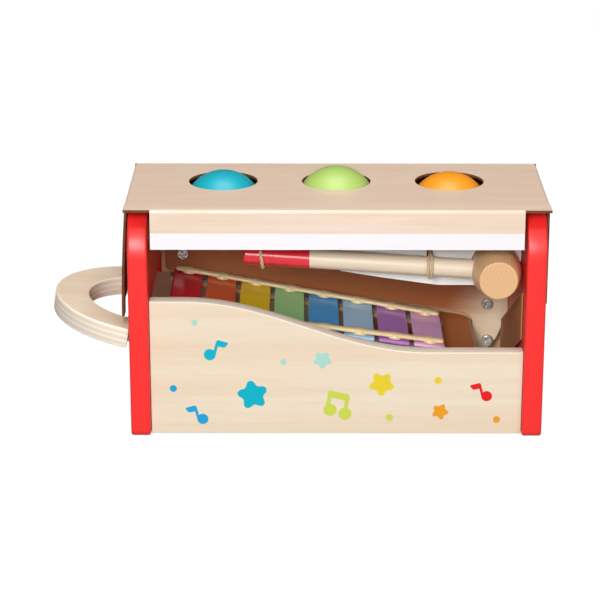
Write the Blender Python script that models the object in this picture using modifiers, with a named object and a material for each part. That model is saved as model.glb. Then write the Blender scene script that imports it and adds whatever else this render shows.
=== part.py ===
"""Pound and tap bench: a hammer bench with three balls and a xylophone that slides out on a tray.

Metres, +Z up. The origin is on the floor, under the middle of the whole toy's bounding box.
Bench places are given from the bench datum: x from the middle of the bench, y back from its front
plane, z up from the floor. Tray places are given from the tray datum, at the left side panel's outer
face on top of the tray: along the slope, back, and up from the tray's top face.
"""

import math

import bmesh
import bpy
from mathutils import Matrix, Vector

COLLECTION_NAME = "pound_and_tap_bench"

# Driving sizes of the bench
bench_width = 0.250
bench_depth = 0.130
side_height = 0.142
side_thickness = 0.012
side_top_radius = 0.030
side_foot_radius = 0.004
side_edge_round = 0.0015
seat_gap = 0.0003
cut_overrun = 0.002
side_inner = bench_width / 2 - side_thickness
board_half = side_inner - seat_gap

# Front panel and its wave
front_thickness = 0.010
front_setback = 0.004
front_floor_gap = 0.001
wave_high = 0.0856
wave_low = 0.0535
wave_left_room = 0.021
wave_right_room = 0.058
wave_steps = 24
front_rear = front_setback + front_thickness

# Boards behind and above
back_thickness = 0.004
back_setback = 0.0027
wall_thickness = 0.009
wall_tray_gap = 0.0042
wall_corner_radius = 0.004
wall_foot_fillet = 0.008
wall_panel_gap = 0.0023
wall_tray_end_gap = 0.0015
foot_toe_width = 0.009
foot_shoulder_height = 0.041
foot_toe_height = 0.0155
foot_knee_width = 0.0155
foot_knee_height = 0.0235
board_thickness = 0.009
board_drop = 0.026
board_rim = 0.0016
board_underside = side_height - board_drop
board_middle = board_underside + board_thickness / 2
back_front = bench_depth - back_setback - back_thickness
wall_front = back_front - seat_gap - wall_thickness

# Balls and their rubber rings: each ball stands a little over the middle of the board
ball_diameter = 0.050
ball_pitch_share = 0.2784
ball_rises = {"left": 0.0048, "middle": 0.0075, "right": 0.0038}
ball_clearance = 0.0004
ring_wall = 0.0040
ring_flange_width = 0.0080
ring_flange_thickness = 0.0018
ring_lip_drop = 0.0020
ball_pitch = bench_width * ball_pitch_share
ball_row = bench_depth / 2
ring_inner = ball_diameter / 2 + ball_clearance
board_front = ball_row - ring_inner - ring_flange_width - board_rim

# Tray and its ring handle
tray_slope = math.radians(8.36)
tray_thickness = 0.012
tray_top_height = 0.0683
tray_end_room = 0.0245
tray_side_clearance = 0.0010
tray_end_radius = 0.010
handle_inset = 0.0015
handle_band = 0.021
handle_centre_inset = 0.013
handle_hole_inset = -0.0020
handle_hole_corner = 0.005
handle_hole_bow = 0.0010
slot_height_over_tray = 0.0120
slot_clearance = 0.0005
runner_width = 0.008
runner_height = 0.008
handle_radius = bench_depth / 2 - handle_inset
handle_hole_radius = handle_radius - handle_band
tray_length = (bench_width / 2 + side_inner - tray_end_room) / math.cos(tray_slope)
tray_front = front_rear + tray_side_clearance
tray_rear = back_front - tray_side_clearance

# Keys, their bearers and strips, in heights over the tray
key_count = 8
key_width_share = 0.868
key_thickness = 0.0020
key_overhang = 0.0050
first_key = 0.0303
last_key_room = 0.0322
rear_line_inset_left = 0.0152
rear_line_inset_right = 0.0327
front_line_inset_left = 0.0143
front_line_inset_right = 0.0216
rail_width = 0.009
rail_height = 0.0027
felt_width = 0.007
felt_height = 0.0012
rail_overhang = 0.012
pad_diameter = 0.0084
pad_height = 0.0036
strip_width = 0.0048
strip_thickness = 0.0024
strip_end_overhang = 0.0090
screw_diameter = 0.0022
screw_head_diameter = 0.0048
screw_head_thickness = 0.0016
screw_recess = 0.0004
screw_pad_cover = 0.0010
last_key = tray_length - last_key_room
key_pitch = (last_key - first_key) / (key_count - 1)
key_width = key_pitch * key_width_share
rear_line_left = tray_rear - rear_line_inset_left
rear_line_right = tray_rear - rear_line_inset_right
front_line_left = tray_front + front_line_inset_left
front_line_right = tray_front + front_line_inset_right
rail_base = seat_gap
felt_base = rail_base + rail_height + seat_gap
key_base = felt_base + felt_height + seat_gap
pad_base = key_base + key_thickness + seat_gap
pad_top = pad_base + pad_height

# Mallet, hung in front of the balls
mallet_head_front = 0.0022
mallet_ball_room = 0.0168
mallet_side_room = 0.0165
mallet_board_room = 0.0011
mallet_head_radius = 0.0153
mallet_face_radius = 0.0117
mallet_face_round = 0.0012
stick_radius = 0.0060
stick_slope = 0.067
stick_length_along = 0.1528
stick_end_round = 0.0012
stick_socket_depth = 0.010
twine_radius = 0.00115
twine_gap = 0.0004
tie_end_room = 0.0107
tie_head_room = 0.0398
tie_overlap_share = 0.30
mallet_card_thickness = 0.0012
mallet_card_gap = 0.0035
mallet_card_reach = 0.094
mallet_card_side_gap = 0.0007
card_dip_left = 0.0098
card_dip_middle = 0.0140
card_dip_right = 0.0130
card_dip_run = 0.026
card_tuck = 0.0085
card_corner_drop = 0.0134
card_head_gap = 0.0006
card_hole_half = 0.0029
mallet_middle = ball_row - ball_diameter / 2 - mallet_ball_room
mallet_head_length = 2 * (mallet_middle - mallet_head_front)
mallet_head_place = side_inner - mallet_side_room
mallet_head_height = board_underside - mallet_head_radius - mallet_board_room
stick_end = mallet_head_place - stick_length_along
tie_strand_pitch = 2 * twine_radius * tie_overlap_share
tie_left_place = stick_end + tie_end_room
tie_right_place = mallet_head_place - tie_head_room
mallet_card_start = mallet_head_place - mallet_card_reach
mallet_card_end = side_inner - mallet_card_side_gap

# Screws of the guide wall: one over the tray's high end, two in the foot
wall_screw_left_room = 0.0149
wall_screw_left_rise = 0.0170
wall_screw_right_room = 0.0137
wall_screw_right_height = 0.0473
wall_screw_foot_room = 0.0132
wall_screw_foot_height = 0.0224
wall_screw_head_radius = 0.0039
wall_screw_head_height = 0.0016
wall_screw_radius = 0.0017
wall_screw_bite = 0.0020

# Dowels between side panels and boards
dowel_radius = 0.0025
dowel_length = 0.020
dowel_in_side = 0.008
front_dowel_height = 0.030
board_dowel_inset = 0.030

# Card sleeve
card_thickness = 0.0016
sleeve_flap_inset = 0.0020
sleeve_flap_drop = 0.0224
sleeve_back_room = 0.024
sleeve_back_fold = 0.0102
sleeve_floor_gap = 0.003
sleeve_hole_radius = 0.0212
side_flap_front = 0.014
side_flap_slot_gap = 0.0010
side_flap_flare = 0.0030
tongue_tray_gap = 0.0047
tongue_key_gap = 0.0007
side_flap_steps = 8
sleeve_flap_half_width = side_inner - sleeve_flap_inset
sleeve_flap_bottom = side_height - sleeve_flap_drop
sleeve_top_depth = bench_depth - sleeve_back_room
sleeve_under = side_height + seat_gap
sleeve_top = sleeve_under + card_thickness
tongue_bottom = tray_top_height + tongue_tray_gap
tongue_rear = front_line_left - key_overhang - tongue_key_gap
side_flap_bottom = tray_top_height + slot_height_over_tray / math.cos(tray_slope) + side_flap_slot_gap
flap_outer = bench_width / 2 + seat_gap + card_thickness
brace_thickness = 0.0008
brace_lean = math.radians(2.1)
brace_front_room = 0.0025
brace_back_room = 0.0015
brace_front_low = 0.0575
brace_width_up = 0.0300
brace_fall = 0.0500

# Round shapes
ball_segments = 24
ball_rings = 12
round_segments = 20
ring_segments = 28
pad_segments = 12
small_segments = 8
wall_screw_segments = 12
barrel_steps = 6
tie_steps = 16
arc_step = math.radians(12)
bevel_angle = math.radians(50)
smooth_angle = math.radians(40)
weld_distance = 0.000002

# Where the toy's bounding box ends, and the bench datum that centres it
handle_reach = (handle_radius - handle_centre_inset) * math.cos(tray_slope)
handle_lean = tray_thickness * math.sin(tray_slope)
part_left = -bench_width / 2 - handle_reach - handle_lean
part_right = flap_outer
part_back = bench_depth + seat_gap + card_thickness
datum = Vector((-(part_left + part_right) / 2, -part_back / 2, 0.0))

# The sRGB curve: below its knee it is a line, above it a power
srgb_knee = 0.04045
srgb_line = 12.92
srgb_offset = 0.055
srgb_power = 2.4


def reset():
    """Remove what the file holds, so that the script can be run again."""
    for item in list(bpy.data.objects):
        bpy.data.objects.remove(item, do_unlink=True)
    for group in list(bpy.data.collections):
        bpy.data.collections.remove(group)
    parts = bpy.data.collections.new(COLLECTION_NAME)
    cutters = bpy.data.collections.new("cutters")
    for group in (parts, cutters):
        bpy.context.scene.collection.children.link(group)
    return parts, cutters


parts, cutters = reset()


def material(name, colour, roughness, metallic=0.0):
    """A Principled material from an sRGB hex colour."""
    made = bpy.data.materials.get(name) or bpy.data.materials.new(name)
    made.use_nodes = True
    shader = made.node_tree.nodes["Principled BSDF"]
    channels = [int(colour[i : i + 2], 16) / 255 for i in (0, 2, 4)]
    linear = [
        c / srgb_line if c <= srgb_knee else ((c + srgb_offset) / (1 + srgb_offset)) ** srgb_power
        for c in channels
    ]
    shader.inputs["Base Color"].default_value = (*linear, 1.0)
    shader.inputs["Roughness"].default_value = roughness
    shader.inputs["Metallic"].default_value = metallic
    made.diffuse_color = (*linear, 1.0)
    return made


def empty(name, parent, location, rotation=(0.0, 0.0, 0.0)):
    """An empty that carries a group of pieces."""
    made = bpy.data.objects.new(name, None)
    made.empty_display_size = side_thickness
    made.location = location
    made.rotation_euler = rotation
    made.parent = parent
    parts.objects.link(made)
    return made


def add_object(name, mesh, finish, parent, location=(0.0, 0.0, 0.0), rotation=(0.0, 0.0, 0.0)):
    """Link a mesh as one named piece."""
    made = bpy.data.objects.new(name, mesh)
    made.location = location
    made.rotation_euler = rotation
    made.parent = parent
    parts.objects.link(made)
    mesh.materials.clear()
    mesh.materials.append(finish)
    return made


def as_cutter(made):
    """Move an object to the cutters, out of the model."""
    parts.objects.unlink(made)
    cutters.objects.link(made)
    made.hide_render = True
    made.display_type = "WIRE"
    return made


def smooth(mesh):
    """Shade a mesh smooth with sharp edges kept."""
    mesh.shade_smooth()
    mesh.set_sharp_from_angle(angle=smooth_angle)


def mesh_of(build, name):
    """A mesh made by a function that fills a bmesh."""
    work = bmesh.new()
    build(work)
    mesh = bpy.data.meshes.new(name)
    work.to_mesh(mesh)
    work.free()
    return mesh


def box_mesh(name, low, high):
    """A box between two corners."""
    low, high = Vector(low), Vector(high)
    size = Matrix.Diagonal((*(high - low), 1.0))

    def build(work):
        bmesh.ops.create_cube(work, size=1.0, matrix=Matrix.Translation((low + high) / 2) @ size)

    return mesh_of(build, name)


def rods_mesh(name, rods, segments):
    """Cylinders given by radius, one end and the other, as separate closed bodies."""

    def build(work):
        for radius, start, end in rods:
            start, end = Vector(start), Vector(end)
            turn = (end - start).to_track_quat("Z", "Y").to_matrix().to_4x4()
            bmesh.ops.create_cone(
                work,
                cap_ends=True,
                segments=segments,
                radius1=radius,
                radius2=radius,
                depth=(end - start).length,
                matrix=Matrix.Translation((start + end) / 2) @ turn,
            )

    return mesh_of(build, name)


def mesh_from_curve(curve, name):
    """The mesh of a curve, with its caps welded."""
    carrier = bpy.data.objects.new(name, curve)
    bpy.context.scene.collection.objects.link(carrier)
    graph = bpy.context.evaluated_depsgraph_get()
    mesh = bpy.data.meshes.new_from_object(carrier.evaluated_get(graph))
    bpy.data.objects.remove(carrier, do_unlink=True)
    work = bmesh.new()
    work.from_mesh(mesh)
    bmesh.ops.remove_doubles(work, verts=work.verts, dist=weld_distance)
    bmesh.ops.recalc_face_normals(work, faces=work.faces)
    work.to_mesh(mesh)
    work.free()
    mesh.name = name
    return mesh


def plate_mesh(name, outlines, thickness):
    """A flat outline with its holes, extruded to both sides by half the thickness."""
    curve = bpy.data.curves.new(name, "CURVE")
    curve.dimensions = "2D"
    curve.fill_mode = "BOTH"
    curve.extrude = thickness / 2
    for points in outlines:
        spline = curve.splines.new("POLY")
        spline.points.add(len(points) - 1)
        for place, (a, b) in zip(spline.points, points):
            place.co = (a, b, 0.0, 1.0)
        spline.use_cyclic_u = True
    return mesh_from_curve(curve, name)


def tube_mesh(name, points, radius):
    """A closed loop of round cord, as a tube round its points."""
    curve = bpy.data.curves.new(name, "CURVE")
    curve.dimensions = "3D"
    curve.bevel_depth = radius
    curve.bevel_resolution = 1
    spline = curve.splines.new("POLY")
    spline.points.add(len(points) - 1)
    for place, point in zip(spline.points, points):
        place.co = (*point, 1.0)
    spline.use_cyclic_u = True
    return mesh_from_curve(curve, name)


def turned(name, profile, finish, parent, location, rotation=(0.0, 0.0, 0.0), segments=round_segments):
    """A turned piece: a profile of (radius, height) run down its outer side, carried round Z."""
    mesh = bpy.data.meshes.new(name)
    points = [(radius, 0.0, height) for radius, height in profile]
    mesh.from_pydata(points, [(i, i + 1) for i in range(len(points) - 1)], [])
    made = add_object(name, mesh, finish, parent, location, rotation)
    screw = made.modifiers.new("turn", "SCREW")
    screw.steps = segments
    screw.render_steps = segments
    screw.use_merge_vertices = True
    screw.merge_threshold = weld_distance
    screw.use_smooth_shade = True
    return made


def arc(centre, radius, start, end):
    """Points along an arc, ends included."""
    steps = max(1, math.ceil(abs(end - start) / arc_step))
    angles = [start + (end - start) * i / steps for i in range(steps + 1)]
    return [(centre[0] + radius * math.cos(a), centre[1] + radius * math.sin(a)) for a in angles]


def rounded(corners):
    """A closed outline from (x, y, radius) corners, each turned into an arc where it has a radius."""
    outline = []
    for i, (x, y, radius) in enumerate(corners):
        here = Vector((x, y))
        if not radius:
            outline.append((x, y))
            continue
        before = (Vector(corners[i - 1][:2]) - here).normalized()
        after = (Vector(corners[(i + 1) % len(corners)][:2]) - here).normalized()
        half = before.angle(after) / 2
        centre = here + (before + after).normalized() * radius / math.sin(half)
        reach = radius / math.tan(half)
        first = here + before * reach - centre
        last = here + after * reach - centre
        start = math.atan2(first.y, first.x)
        sweep = first.angle_signed(last)
        outline += arc(centre, radius, start, start - sweep)
    return outline


def cut(target, mesh, frame=None):
    """Cut a target with a mesh given in the frame of the target's parent, or in another frame."""
    cutter = as_cutter(add_object(mesh.name, mesh, target.data.materials[0], frame or target.parent))
    modifier = target.modifiers.new("cut", "BOOLEAN")
    modifier.operation = "DIFFERENCE"
    modifier.solver = "EXACT"
    modifier.object = cutter
    return modifier


def join_to(target, mesh):
    """Join a mesh to a target as one solid."""
    extra = add_object(target.name + "_joined", mesh, target.data.materials[0], target.parent)
    as_cutter(extra)
    modifier = target.modifiers.new("join", "BOOLEAN")
    modifier.operation = "UNION"
    modifier.solver = "EXACT"
    modifier.object = extra
    return modifier


def round_edges(made, width, segments):
    """Round a piece's sharp edges."""
    bevel = made.modifiers.new("edge", "BEVEL")
    bevel.width = width
    bevel.segments = segments
    bevel.limit_method = "ANGLE"
    bevel.angle_limit = bevel_angle
    return bevel


UPRIGHT = (math.pi / 2, 0.0, 0.0)
SIDEWAYS = (math.pi / 2, 0.0, math.pi / 2)
HEAD_DOWN = (math.pi, 0.0, 0.0)

red_lacquer = material("red_lacquer", "F53B3A", 0.25)
plywood = material("birch_plywood", "E8D5B8", 0.55)
plain_wood = material("plain_wood", "E3C9A6", 0.6)
mallet_wood = material("waxed_wood", "D9B07C", 0.5)
rubber = material("black_rubber", "2E2E30", 0.8)
felt = material("grey_felt", "8C8880", 0.95)
strip_wood = material("strip_wood", "D9BD88", 0.55)
steel = material("zinc_steel", "A9A6A2", 0.35, 1.0)
printed_card = material("printed_card", "DCC6AB", 0.5)
kraft_card = material("kraft_card", "8A5A36", 0.85)
grey_card = material("grey_card", "C9CBCC", 0.7)
twine = material("cotton_twine", "E7CBA0", 0.9)
ball_paints = {
    "left": material("cyan_paint", "00BCD6", 0.45),
    "middle": material("lime_paint", "A6DC45", 0.45),
    "right": material("orange_paint", "FDAF3C", 0.45),
}
key_paints = (
    ("red", "B3122B"),
    ("orange", "CC4F20"),
    ("yellow", "E6BC08"),
    ("green", "6FBF5A"),
    ("blue", "2468A8"),
    ("light_blue", "7DB4E0"),
    ("purple", "7F4A92"),
    ("lilac", "C085C4"),
)

bench = empty("bench_datum", None, datum)
tray_frame = empty(
    "tray_slide_axis",
    bench,
    (-bench_width / 2, 0.0, tray_top_height),
    (0.0, tray_slope, 0.0),
)


def slope_height(x):
    """Height of the tray's top face at a bench place x."""
    return tray_top_height - math.tan(tray_slope) * (x + bench_width / 2)


def key_place(index):
    """Place of a key's middle along the tray."""
    return first_key + key_pitch * index


def line_at(place, left, right):
    """Depth of a strip line at a place along the tray."""
    share = (place - first_key) / (key_place(key_count - 1) - first_key)
    return left + (right - left) * share


def dowel_places():
    """Depth and height of each dowel: the front panel's and the top board's."""
    return {
        "front": (front_setback + front_thickness / 2, front_dowel_height),
        "board": (bench_depth - board_dowel_inset, board_middle),
    }


def dowel_holes(name):
    """Cutter for the dowels' holes."""
    outer = side_inner + dowel_in_side + seat_gap
    inner = side_inner + dowel_in_side - dowel_length - seat_gap
    rods = [
        (dowel_radius + seat_gap, (side * outer, y, z), (side * inner, y, z))
        for side in (-1, 1)
        for y, z in dowel_places().values()
    ]
    return rods_mesh(name, rods, small_segments)


def make_side_panels():
    """Red side panels, the left one with the tray's slot."""
    outline = rounded(
        (
            (0.0, 0.0, side_foot_radius),
            (bench_depth, 0.0, side_foot_radius),
            (bench_depth, side_height, side_top_radius),
            (0.0, side_height, side_top_radius),
        )
    )
    for name, side in (("left_side_panel", -1), ("right_side_panel", 1)):
        mesh = plate_mesh(name, [outline], side_thickness)
        place = (side * (bench_width - side_thickness) / 2, 0.0, 0.0)
        panel = add_object(name, mesh, red_lacquer, bench, place, SIDEWAYS)
        smooth(mesh)
        round_edges(panel, side_edge_round, 2)
        cut(panel, dowel_holes(name + "_holes"))
        if side < 0:
            low = (-side_thickness, tray_front - slot_clearance, -tray_thickness - slot_clearance)
            high = (side_thickness * 2, tray_rear + slot_clearance, slot_height_over_tray)
            cut(panel, box_mesh("tray_slot", low, high), tray_frame)


def make_front_panel():
    """Plywood front with a wave-cut top: a raised cosine between two level stretches."""
    start = wave_left_room - side_inner
    end = side_inner - wave_right_room
    wave = []
    for i in range(wave_steps + 1):
        share = i / wave_steps
        height = (wave_high + wave_low) / 2 + (wave_high - wave_low) / 2 * math.cos(math.pi * share)
        wave.append((start + (end - start) * share, height))
    outline = [(board_half, front_floor_gap), (board_half, wave_low)]
    outline += wave[::-1]
    outline += [(-board_half, wave_high), (-board_half, front_floor_gap)]
    mesh = plate_mesh("front_panel", [outline], front_thickness)
    place = (0.0, front_setback + front_thickness / 2, 0.0)
    panel = add_object("front_panel", mesh, plywood, bench, place, UPRIGHT)
    cut(panel, dowel_holes("front_panel_holes"))


def wall_screw_places():
    """Place along the bench and height of each screw of the guide wall."""
    left = wall_screw_left_room - side_inner
    return {
        "left": (left, slope_height(left) + wall_screw_left_rise),
        "right": (side_inner - wall_screw_right_room, wall_screw_right_height),
        "foot": (side_inner - wall_screw_foot_room, wall_screw_foot_height),
    }


def wall_screw_holes(name, start, end):
    """Cutter for the guide wall's screws between two depths."""
    radius = wall_screw_radius + seat_gap
    rods = [(radius, (x, start, z), (x, end, z)) for x, z in wall_screw_places().values()]
    return rods_mesh(name, rods, small_segments)


def screw(name, finish, parent, location, rotation, sizes, segments):
    """A screw along Z: a flat-topped head over its seat at zero, and a shaft down from it."""
    head_radius, head_height, radius, length = sizes
    profile = (
        (0.0, head_height),
        (head_radius - head_height / 2, head_height),
        (head_radius, head_height / 2),
        (head_radius, 0.0),
        (radius, 0.0),
        (radius, -length),
        (0.0, -length),
    )
    return turned(name, profile, finish, parent, location, rotation, segments)


def make_back_board():
    """Thin board that closes the back and takes the wall's screws."""
    low = (-board_half, back_front, front_floor_gap)
    high = (board_half, back_front + back_thickness, board_underside - seat_gap)
    board = add_object("back_board", box_mesh("back_board", low, high), plain_wood, bench)
    deep = back_front + wall_screw_bite + seat_gap
    cut(board, wall_screw_holes("back_board_holes", back_front - cut_overrun, deep))


def make_guide_wall():
    """Wall behind the keys: its lower edge follows the tray, and its foot stands past the tray's end."""
    tray_end = side_inner - tray_end_room + wall_tray_end_gap
    left = -board_half + wall_panel_gap
    top = board_underside - seat_gap
    foot_right = tray_end + foot_toe_width
    corners = (
        (left, top, 0.0),
        (left, slope_height(left) + wall_tray_gap, wall_corner_radius),
        (tray_end, slope_height(tray_end) + wall_tray_gap, wall_foot_fillet),
        (tray_end, foot_toe_height, 0.0),
        (foot_right, foot_toe_height, foot_toe_width / 2),
        (tray_end + foot_knee_width, foot_knee_height, foot_toe_width),
        (board_half, foot_shoulder_height, foot_toe_width),
        (board_half, top, 0.0),
    )
    mesh = plate_mesh("guide_wall", [rounded(corners)], wall_thickness)
    place = (0.0, wall_front + wall_thickness / 2, 0.0)
    wall = add_object("guide_wall", mesh, plywood, bench, place, UPRIGHT)
    cut(wall, wall_screw_holes("guide_wall_holes", wall_front - cut_overrun, back_front))


def make_wall_screws():
    """Cross-head screws that hold the wall to the back board."""
    seat = wall_front - seat_gap
    length = back_front + wall_screw_bite - seat
    sizes = (wall_screw_head_radius, wall_screw_head_height, wall_screw_radius, length)
    for word, (x, z) in wall_screw_places().items():
        screw("wall_screw_" + word, steel, bench, (x, seat, z), UPRIGHT, sizes, wall_screw_segments)


def make_top_board():
    """Board that the balls are pounded through."""
    low = (-board_half, board_front, board_underside)
    high = (board_half, back_front + back_thickness, board_underside + board_thickness)
    board = add_object("top_board", box_mesh("top_board", low, high), plain_wood, bench)
    hole = ring_inner + ring_wall + seat_gap
    rods = [
        (hole, (x, ball_row, low[2] - cut_overrun), (x, ball_row, high[2] + cut_overrun))
        for x in ball_places().values()
    ]
    cut(board, rods_mesh("ball_holes", rods, ring_segments))
    cut(board, dowel_holes("top_board_holes"))


def ball_places():
    """Place of each ball along the bench."""
    return {"left": -ball_pitch, "middle": 0.0, "right": ball_pitch}


def make_ball_rings():
    """Rubber rings in the board's holes, with a flange on top and a short lip below."""
    outer = ring_inner + ring_wall
    flange = ring_inner + ring_flange_width
    under = board_underside + board_thickness + seat_gap
    top = under + ring_flange_thickness
    bottom = board_underside - ring_lip_drop
    profile = (
        (ring_inner, top),
        (flange, top),
        (flange, under),
        (outer, under),
        (outer, bottom),
        (ring_inner, bottom),
        (ring_inner, top),
    )
    for name, x in ball_places().items():
        turned("ball_ring_" + name, profile, rubber, bench, (x, ball_row, 0.0), segments=ring_segments)


def make_balls():
    """Painted wooden balls, each on the axis that it is pounded along."""
    for name, x in ball_places().items():
        axis = empty("ball_axis_" + name, bench, (x, ball_row, board_middle + ball_rises[name]))

        def build(work):
            bmesh.ops.create_uvsphere(
                work, u_segments=ball_segments, v_segments=ball_rings, radius=ball_diameter / 2
            )

        mesh = mesh_of(build, "ball_" + name)
        mesh.shade_smooth()
        add_object("ball_" + name, mesh, ball_paints[name], axis)


def make_dowels():
    """Dowels that join the boards to the side panels."""
    half = (dowel_length / 2, 0.0, 0.0)
    mesh = rods_mesh("dowel", [(dowel_radius, (-half[0], 0.0, 0.0), half)], small_segments)
    middle = side_inner + dowel_in_side - half[0]
    for board, (y, z) in dowel_places().items():
        for side, word in ((-1, "left"), (1, "right")):
            place = (side * middle, y, z)
            add_object("dowel_" + board + "_" + word, mesh, plain_wood, bench, place)


def make_runners():
    """Sloped battens under the tray's long edges."""
    top = -tray_thickness - seat_gap
    lean = (runner_height - top) * math.sin(tray_slope)
    start = (side_thickness + seat_gap + lean) / math.cos(tray_slope)
    for name, depth in (
        ("tray_runner_front", front_rear + seat_gap),
        ("tray_runner_rear", back_front - seat_gap - runner_width),
    ):
        low = (start, depth, top - runner_height)
        high = (tray_length - tray_end_radius, depth + runner_width, top)
        add_object(name, box_mesh(name, low, high), plain_wood, tray_frame)


def handle_outline():
    """The tray's outline: a round handle that steps in to the body, which runs to its far end."""
    centre = (handle_centre_inset, ball_row)
    shoulder = -seat_gap
    half = math.acos((shoulder - centre[0]) / handle_radius)
    outline = arc(centre, handle_radius, half, 2 * math.pi - half)
    body = rounded(
        (
            (shoulder, tray_front, 0.0),
            (tray_length, tray_front, tray_end_radius),
            (tray_length, tray_rear, tray_end_radius),
            (shoulder, tray_rear, 0.0),
        )
    )
    return outline + body


def handle_hole():
    """Finger hole: an arc on the handle's own centre, closed by a straight edge."""
    centre = (handle_centre_inset, ball_row)
    half = math.acos((handle_hole_inset - centre[0]) / handle_hole_radius)
    bow = arc(centre, handle_hole_radius, half, 2 * math.pi - half)
    (x, rear), (_, front) = bow[0], bow[-1]
    inward = x - handle_hole_bow
    corner = [(inward, front + handle_hole_bow), (x, front + handle_hole_corner)]
    corner += [(x, rear - handle_hole_corner), (inward, rear - handle_hole_bow)]
    return bow[1:-1] + corner


def key_screw_places():
    """Places of the screws: two to a key, on the two strip lines."""
    places = []
    for index in range(key_count):
        along = key_place(index)
        places.append((along, line_at(along, front_line_left, front_line_right)))
        places.append((along, line_at(along, rear_line_left, rear_line_right)))
    return places


def screw_holes(name, low, high):
    """Cutter for the screws' holes between two heights over the tray."""
    rods = [
        (screw_diameter / 2 + seat_gap, (along, depth, low), (along, depth, high))
        for along, depth in key_screw_places()
    ]
    return rods_mesh(name, rods, small_segments)


def make_tray():
    """Plywood tray with its ring handle, on the slope."""
    mesh = plate_mesh("tray", [handle_outline(), handle_hole()], tray_thickness)
    mesh.transform(Matrix.Translation((0.0, 0.0, -tray_thickness / 2)))
    tray = add_object("tray", mesh, plywood, tray_frame)
    under = -tray_thickness - cut_overrun
    cut(tray, screw_holes("tray_screw_holes", under, cut_overrun))
    recess = -tray_thickness + screw_recess + screw_head_thickness + seat_gap
    heads = [
        (screw_head_diameter / 2 + seat_gap, (along, depth, under), (along, depth, recess))
        for along, depth in key_screw_places()
    ]
    cut(tray, rods_mesh("tray_recesses", heads, small_segments))


def bar_outline(left, right, width, overhang):
    """A straight bar with round ends along a strip line, past the first and last key."""
    start, end = key_place(0), key_place(key_count - 1)
    first = Vector((start, left))
    last = Vector((end, right))
    along = (last - first).normalized()
    first, last = first - along * (overhang - width / 2), last + along * (overhang - width / 2)
    lean = math.atan2(along.y, along.x)
    return arc(last, width / 2, lean - math.pi / 2, lean + math.pi / 2) + arc(
        first, width / 2, lean + math.pi / 2, lean + math.pi * 3 / 2
    )


def make_bars():
    """Rails, felts and strips along the two strip lines."""
    for end, left, right in (
        ("front", front_line_left, front_line_right),
        ("rear", rear_line_left, rear_line_right),
    ):
        for name, finish, width, base, height in (
            ("key_rail_" + end, plain_wood, rail_width, rail_base, rail_height),
            ("felt_strip_" + end, felt, felt_width, felt_base, felt_height),
        ):
            mesh = plate_mesh(name, [bar_outline(left, right, width, rail_overhang)], height)
            mesh.transform(Matrix.Translation((0.0, 0.0, base + height / 2)))
            made = add_object(name, mesh, finish, tray_frame)
            cut(made, screw_holes(name + "_holes", base - cut_overrun, base + height + cut_overrun))
        name = "key_strip_" + end
        middle = (pad_base + pad_top) / 2
        outline = bar_outline(left, right, strip_width, strip_end_overhang)
        mesh = plate_mesh(name, [outline], strip_thickness)
        mesh.transform(Matrix.Translation((0.0, 0.0, middle)))
        strip = add_object(name, mesh, strip_wood, tray_frame)
        pads = []
        for along in map(key_place, range(key_count)):
            depth = line_at(along, left, right)
            pads.append((pad_diameter / 2, (along, depth, pad_base), (along, depth, pad_top)))
        join_to(strip, rods_mesh(name + "_pads", pads, pad_segments))
        blind = pad_top - screw_pad_cover + seat_gap
        cut(strip, screw_holes(name + "_holes", pad_base - cut_overrun, blind))


def make_keys():
    """Metal keys, each a little shorter than the one before."""
    for index, (paint, colour) in enumerate(key_paints):
        along = key_place(index)
        front = line_at(along, front_line_left, front_line_right) - key_overhang
        rear = line_at(along, rear_line_left, rear_line_right) + key_overhang
        low = (along - key_width / 2, front, key_base)
        high = (along + key_width / 2, rear, key_base + key_thickness)
        name = "key_" + paint
        finish = material(paint + "_enamel", colour, 0.2)
        key = add_object(name, box_mesh(name, low, high), finish, tray_frame)
        below, above = key_base - cut_overrun, key_base + key_thickness + cut_overrun
        rods = [
            (screw_diameter / 2 + seat_gap, (along, depth, below), (along, depth, above))
            for depth in (front + key_overhang, rear - key_overhang)
        ]
        cut(key, rods_mesh(name + "_holes", rods, small_segments))


def make_key_screws():
    """Screws from under the tray into the pads, two to a key."""
    seat = -tray_thickness + screw_recess + screw_head_thickness
    length = pad_top - screw_pad_cover - seat
    sizes = (screw_head_diameter / 2, screw_head_thickness, screw_diameter / 2, length)
    names = ["screw_" + paint + "_" + end for paint, _ in key_paints for end in ("front", "rear")]
    for name, (along, depth) in zip(names, key_screw_places()):
        place = (along, depth, seat)
        screw(name, steel, tray_frame, place, HEAD_DOWN, sizes, small_segments)


def stick_height(x):
    """Height of the mallet handle's axis at a bench place x."""
    return mallet_head_height + stick_slope * (mallet_head_place - x)


def barrel_radius(offset):
    """Radius of the mallet head at an offset from its middle."""
    share = offset / (mallet_head_length / 2 - mallet_face_round)
    return mallet_face_radius + (mallet_head_radius - mallet_face_radius) * (1 - share * share)


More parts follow.
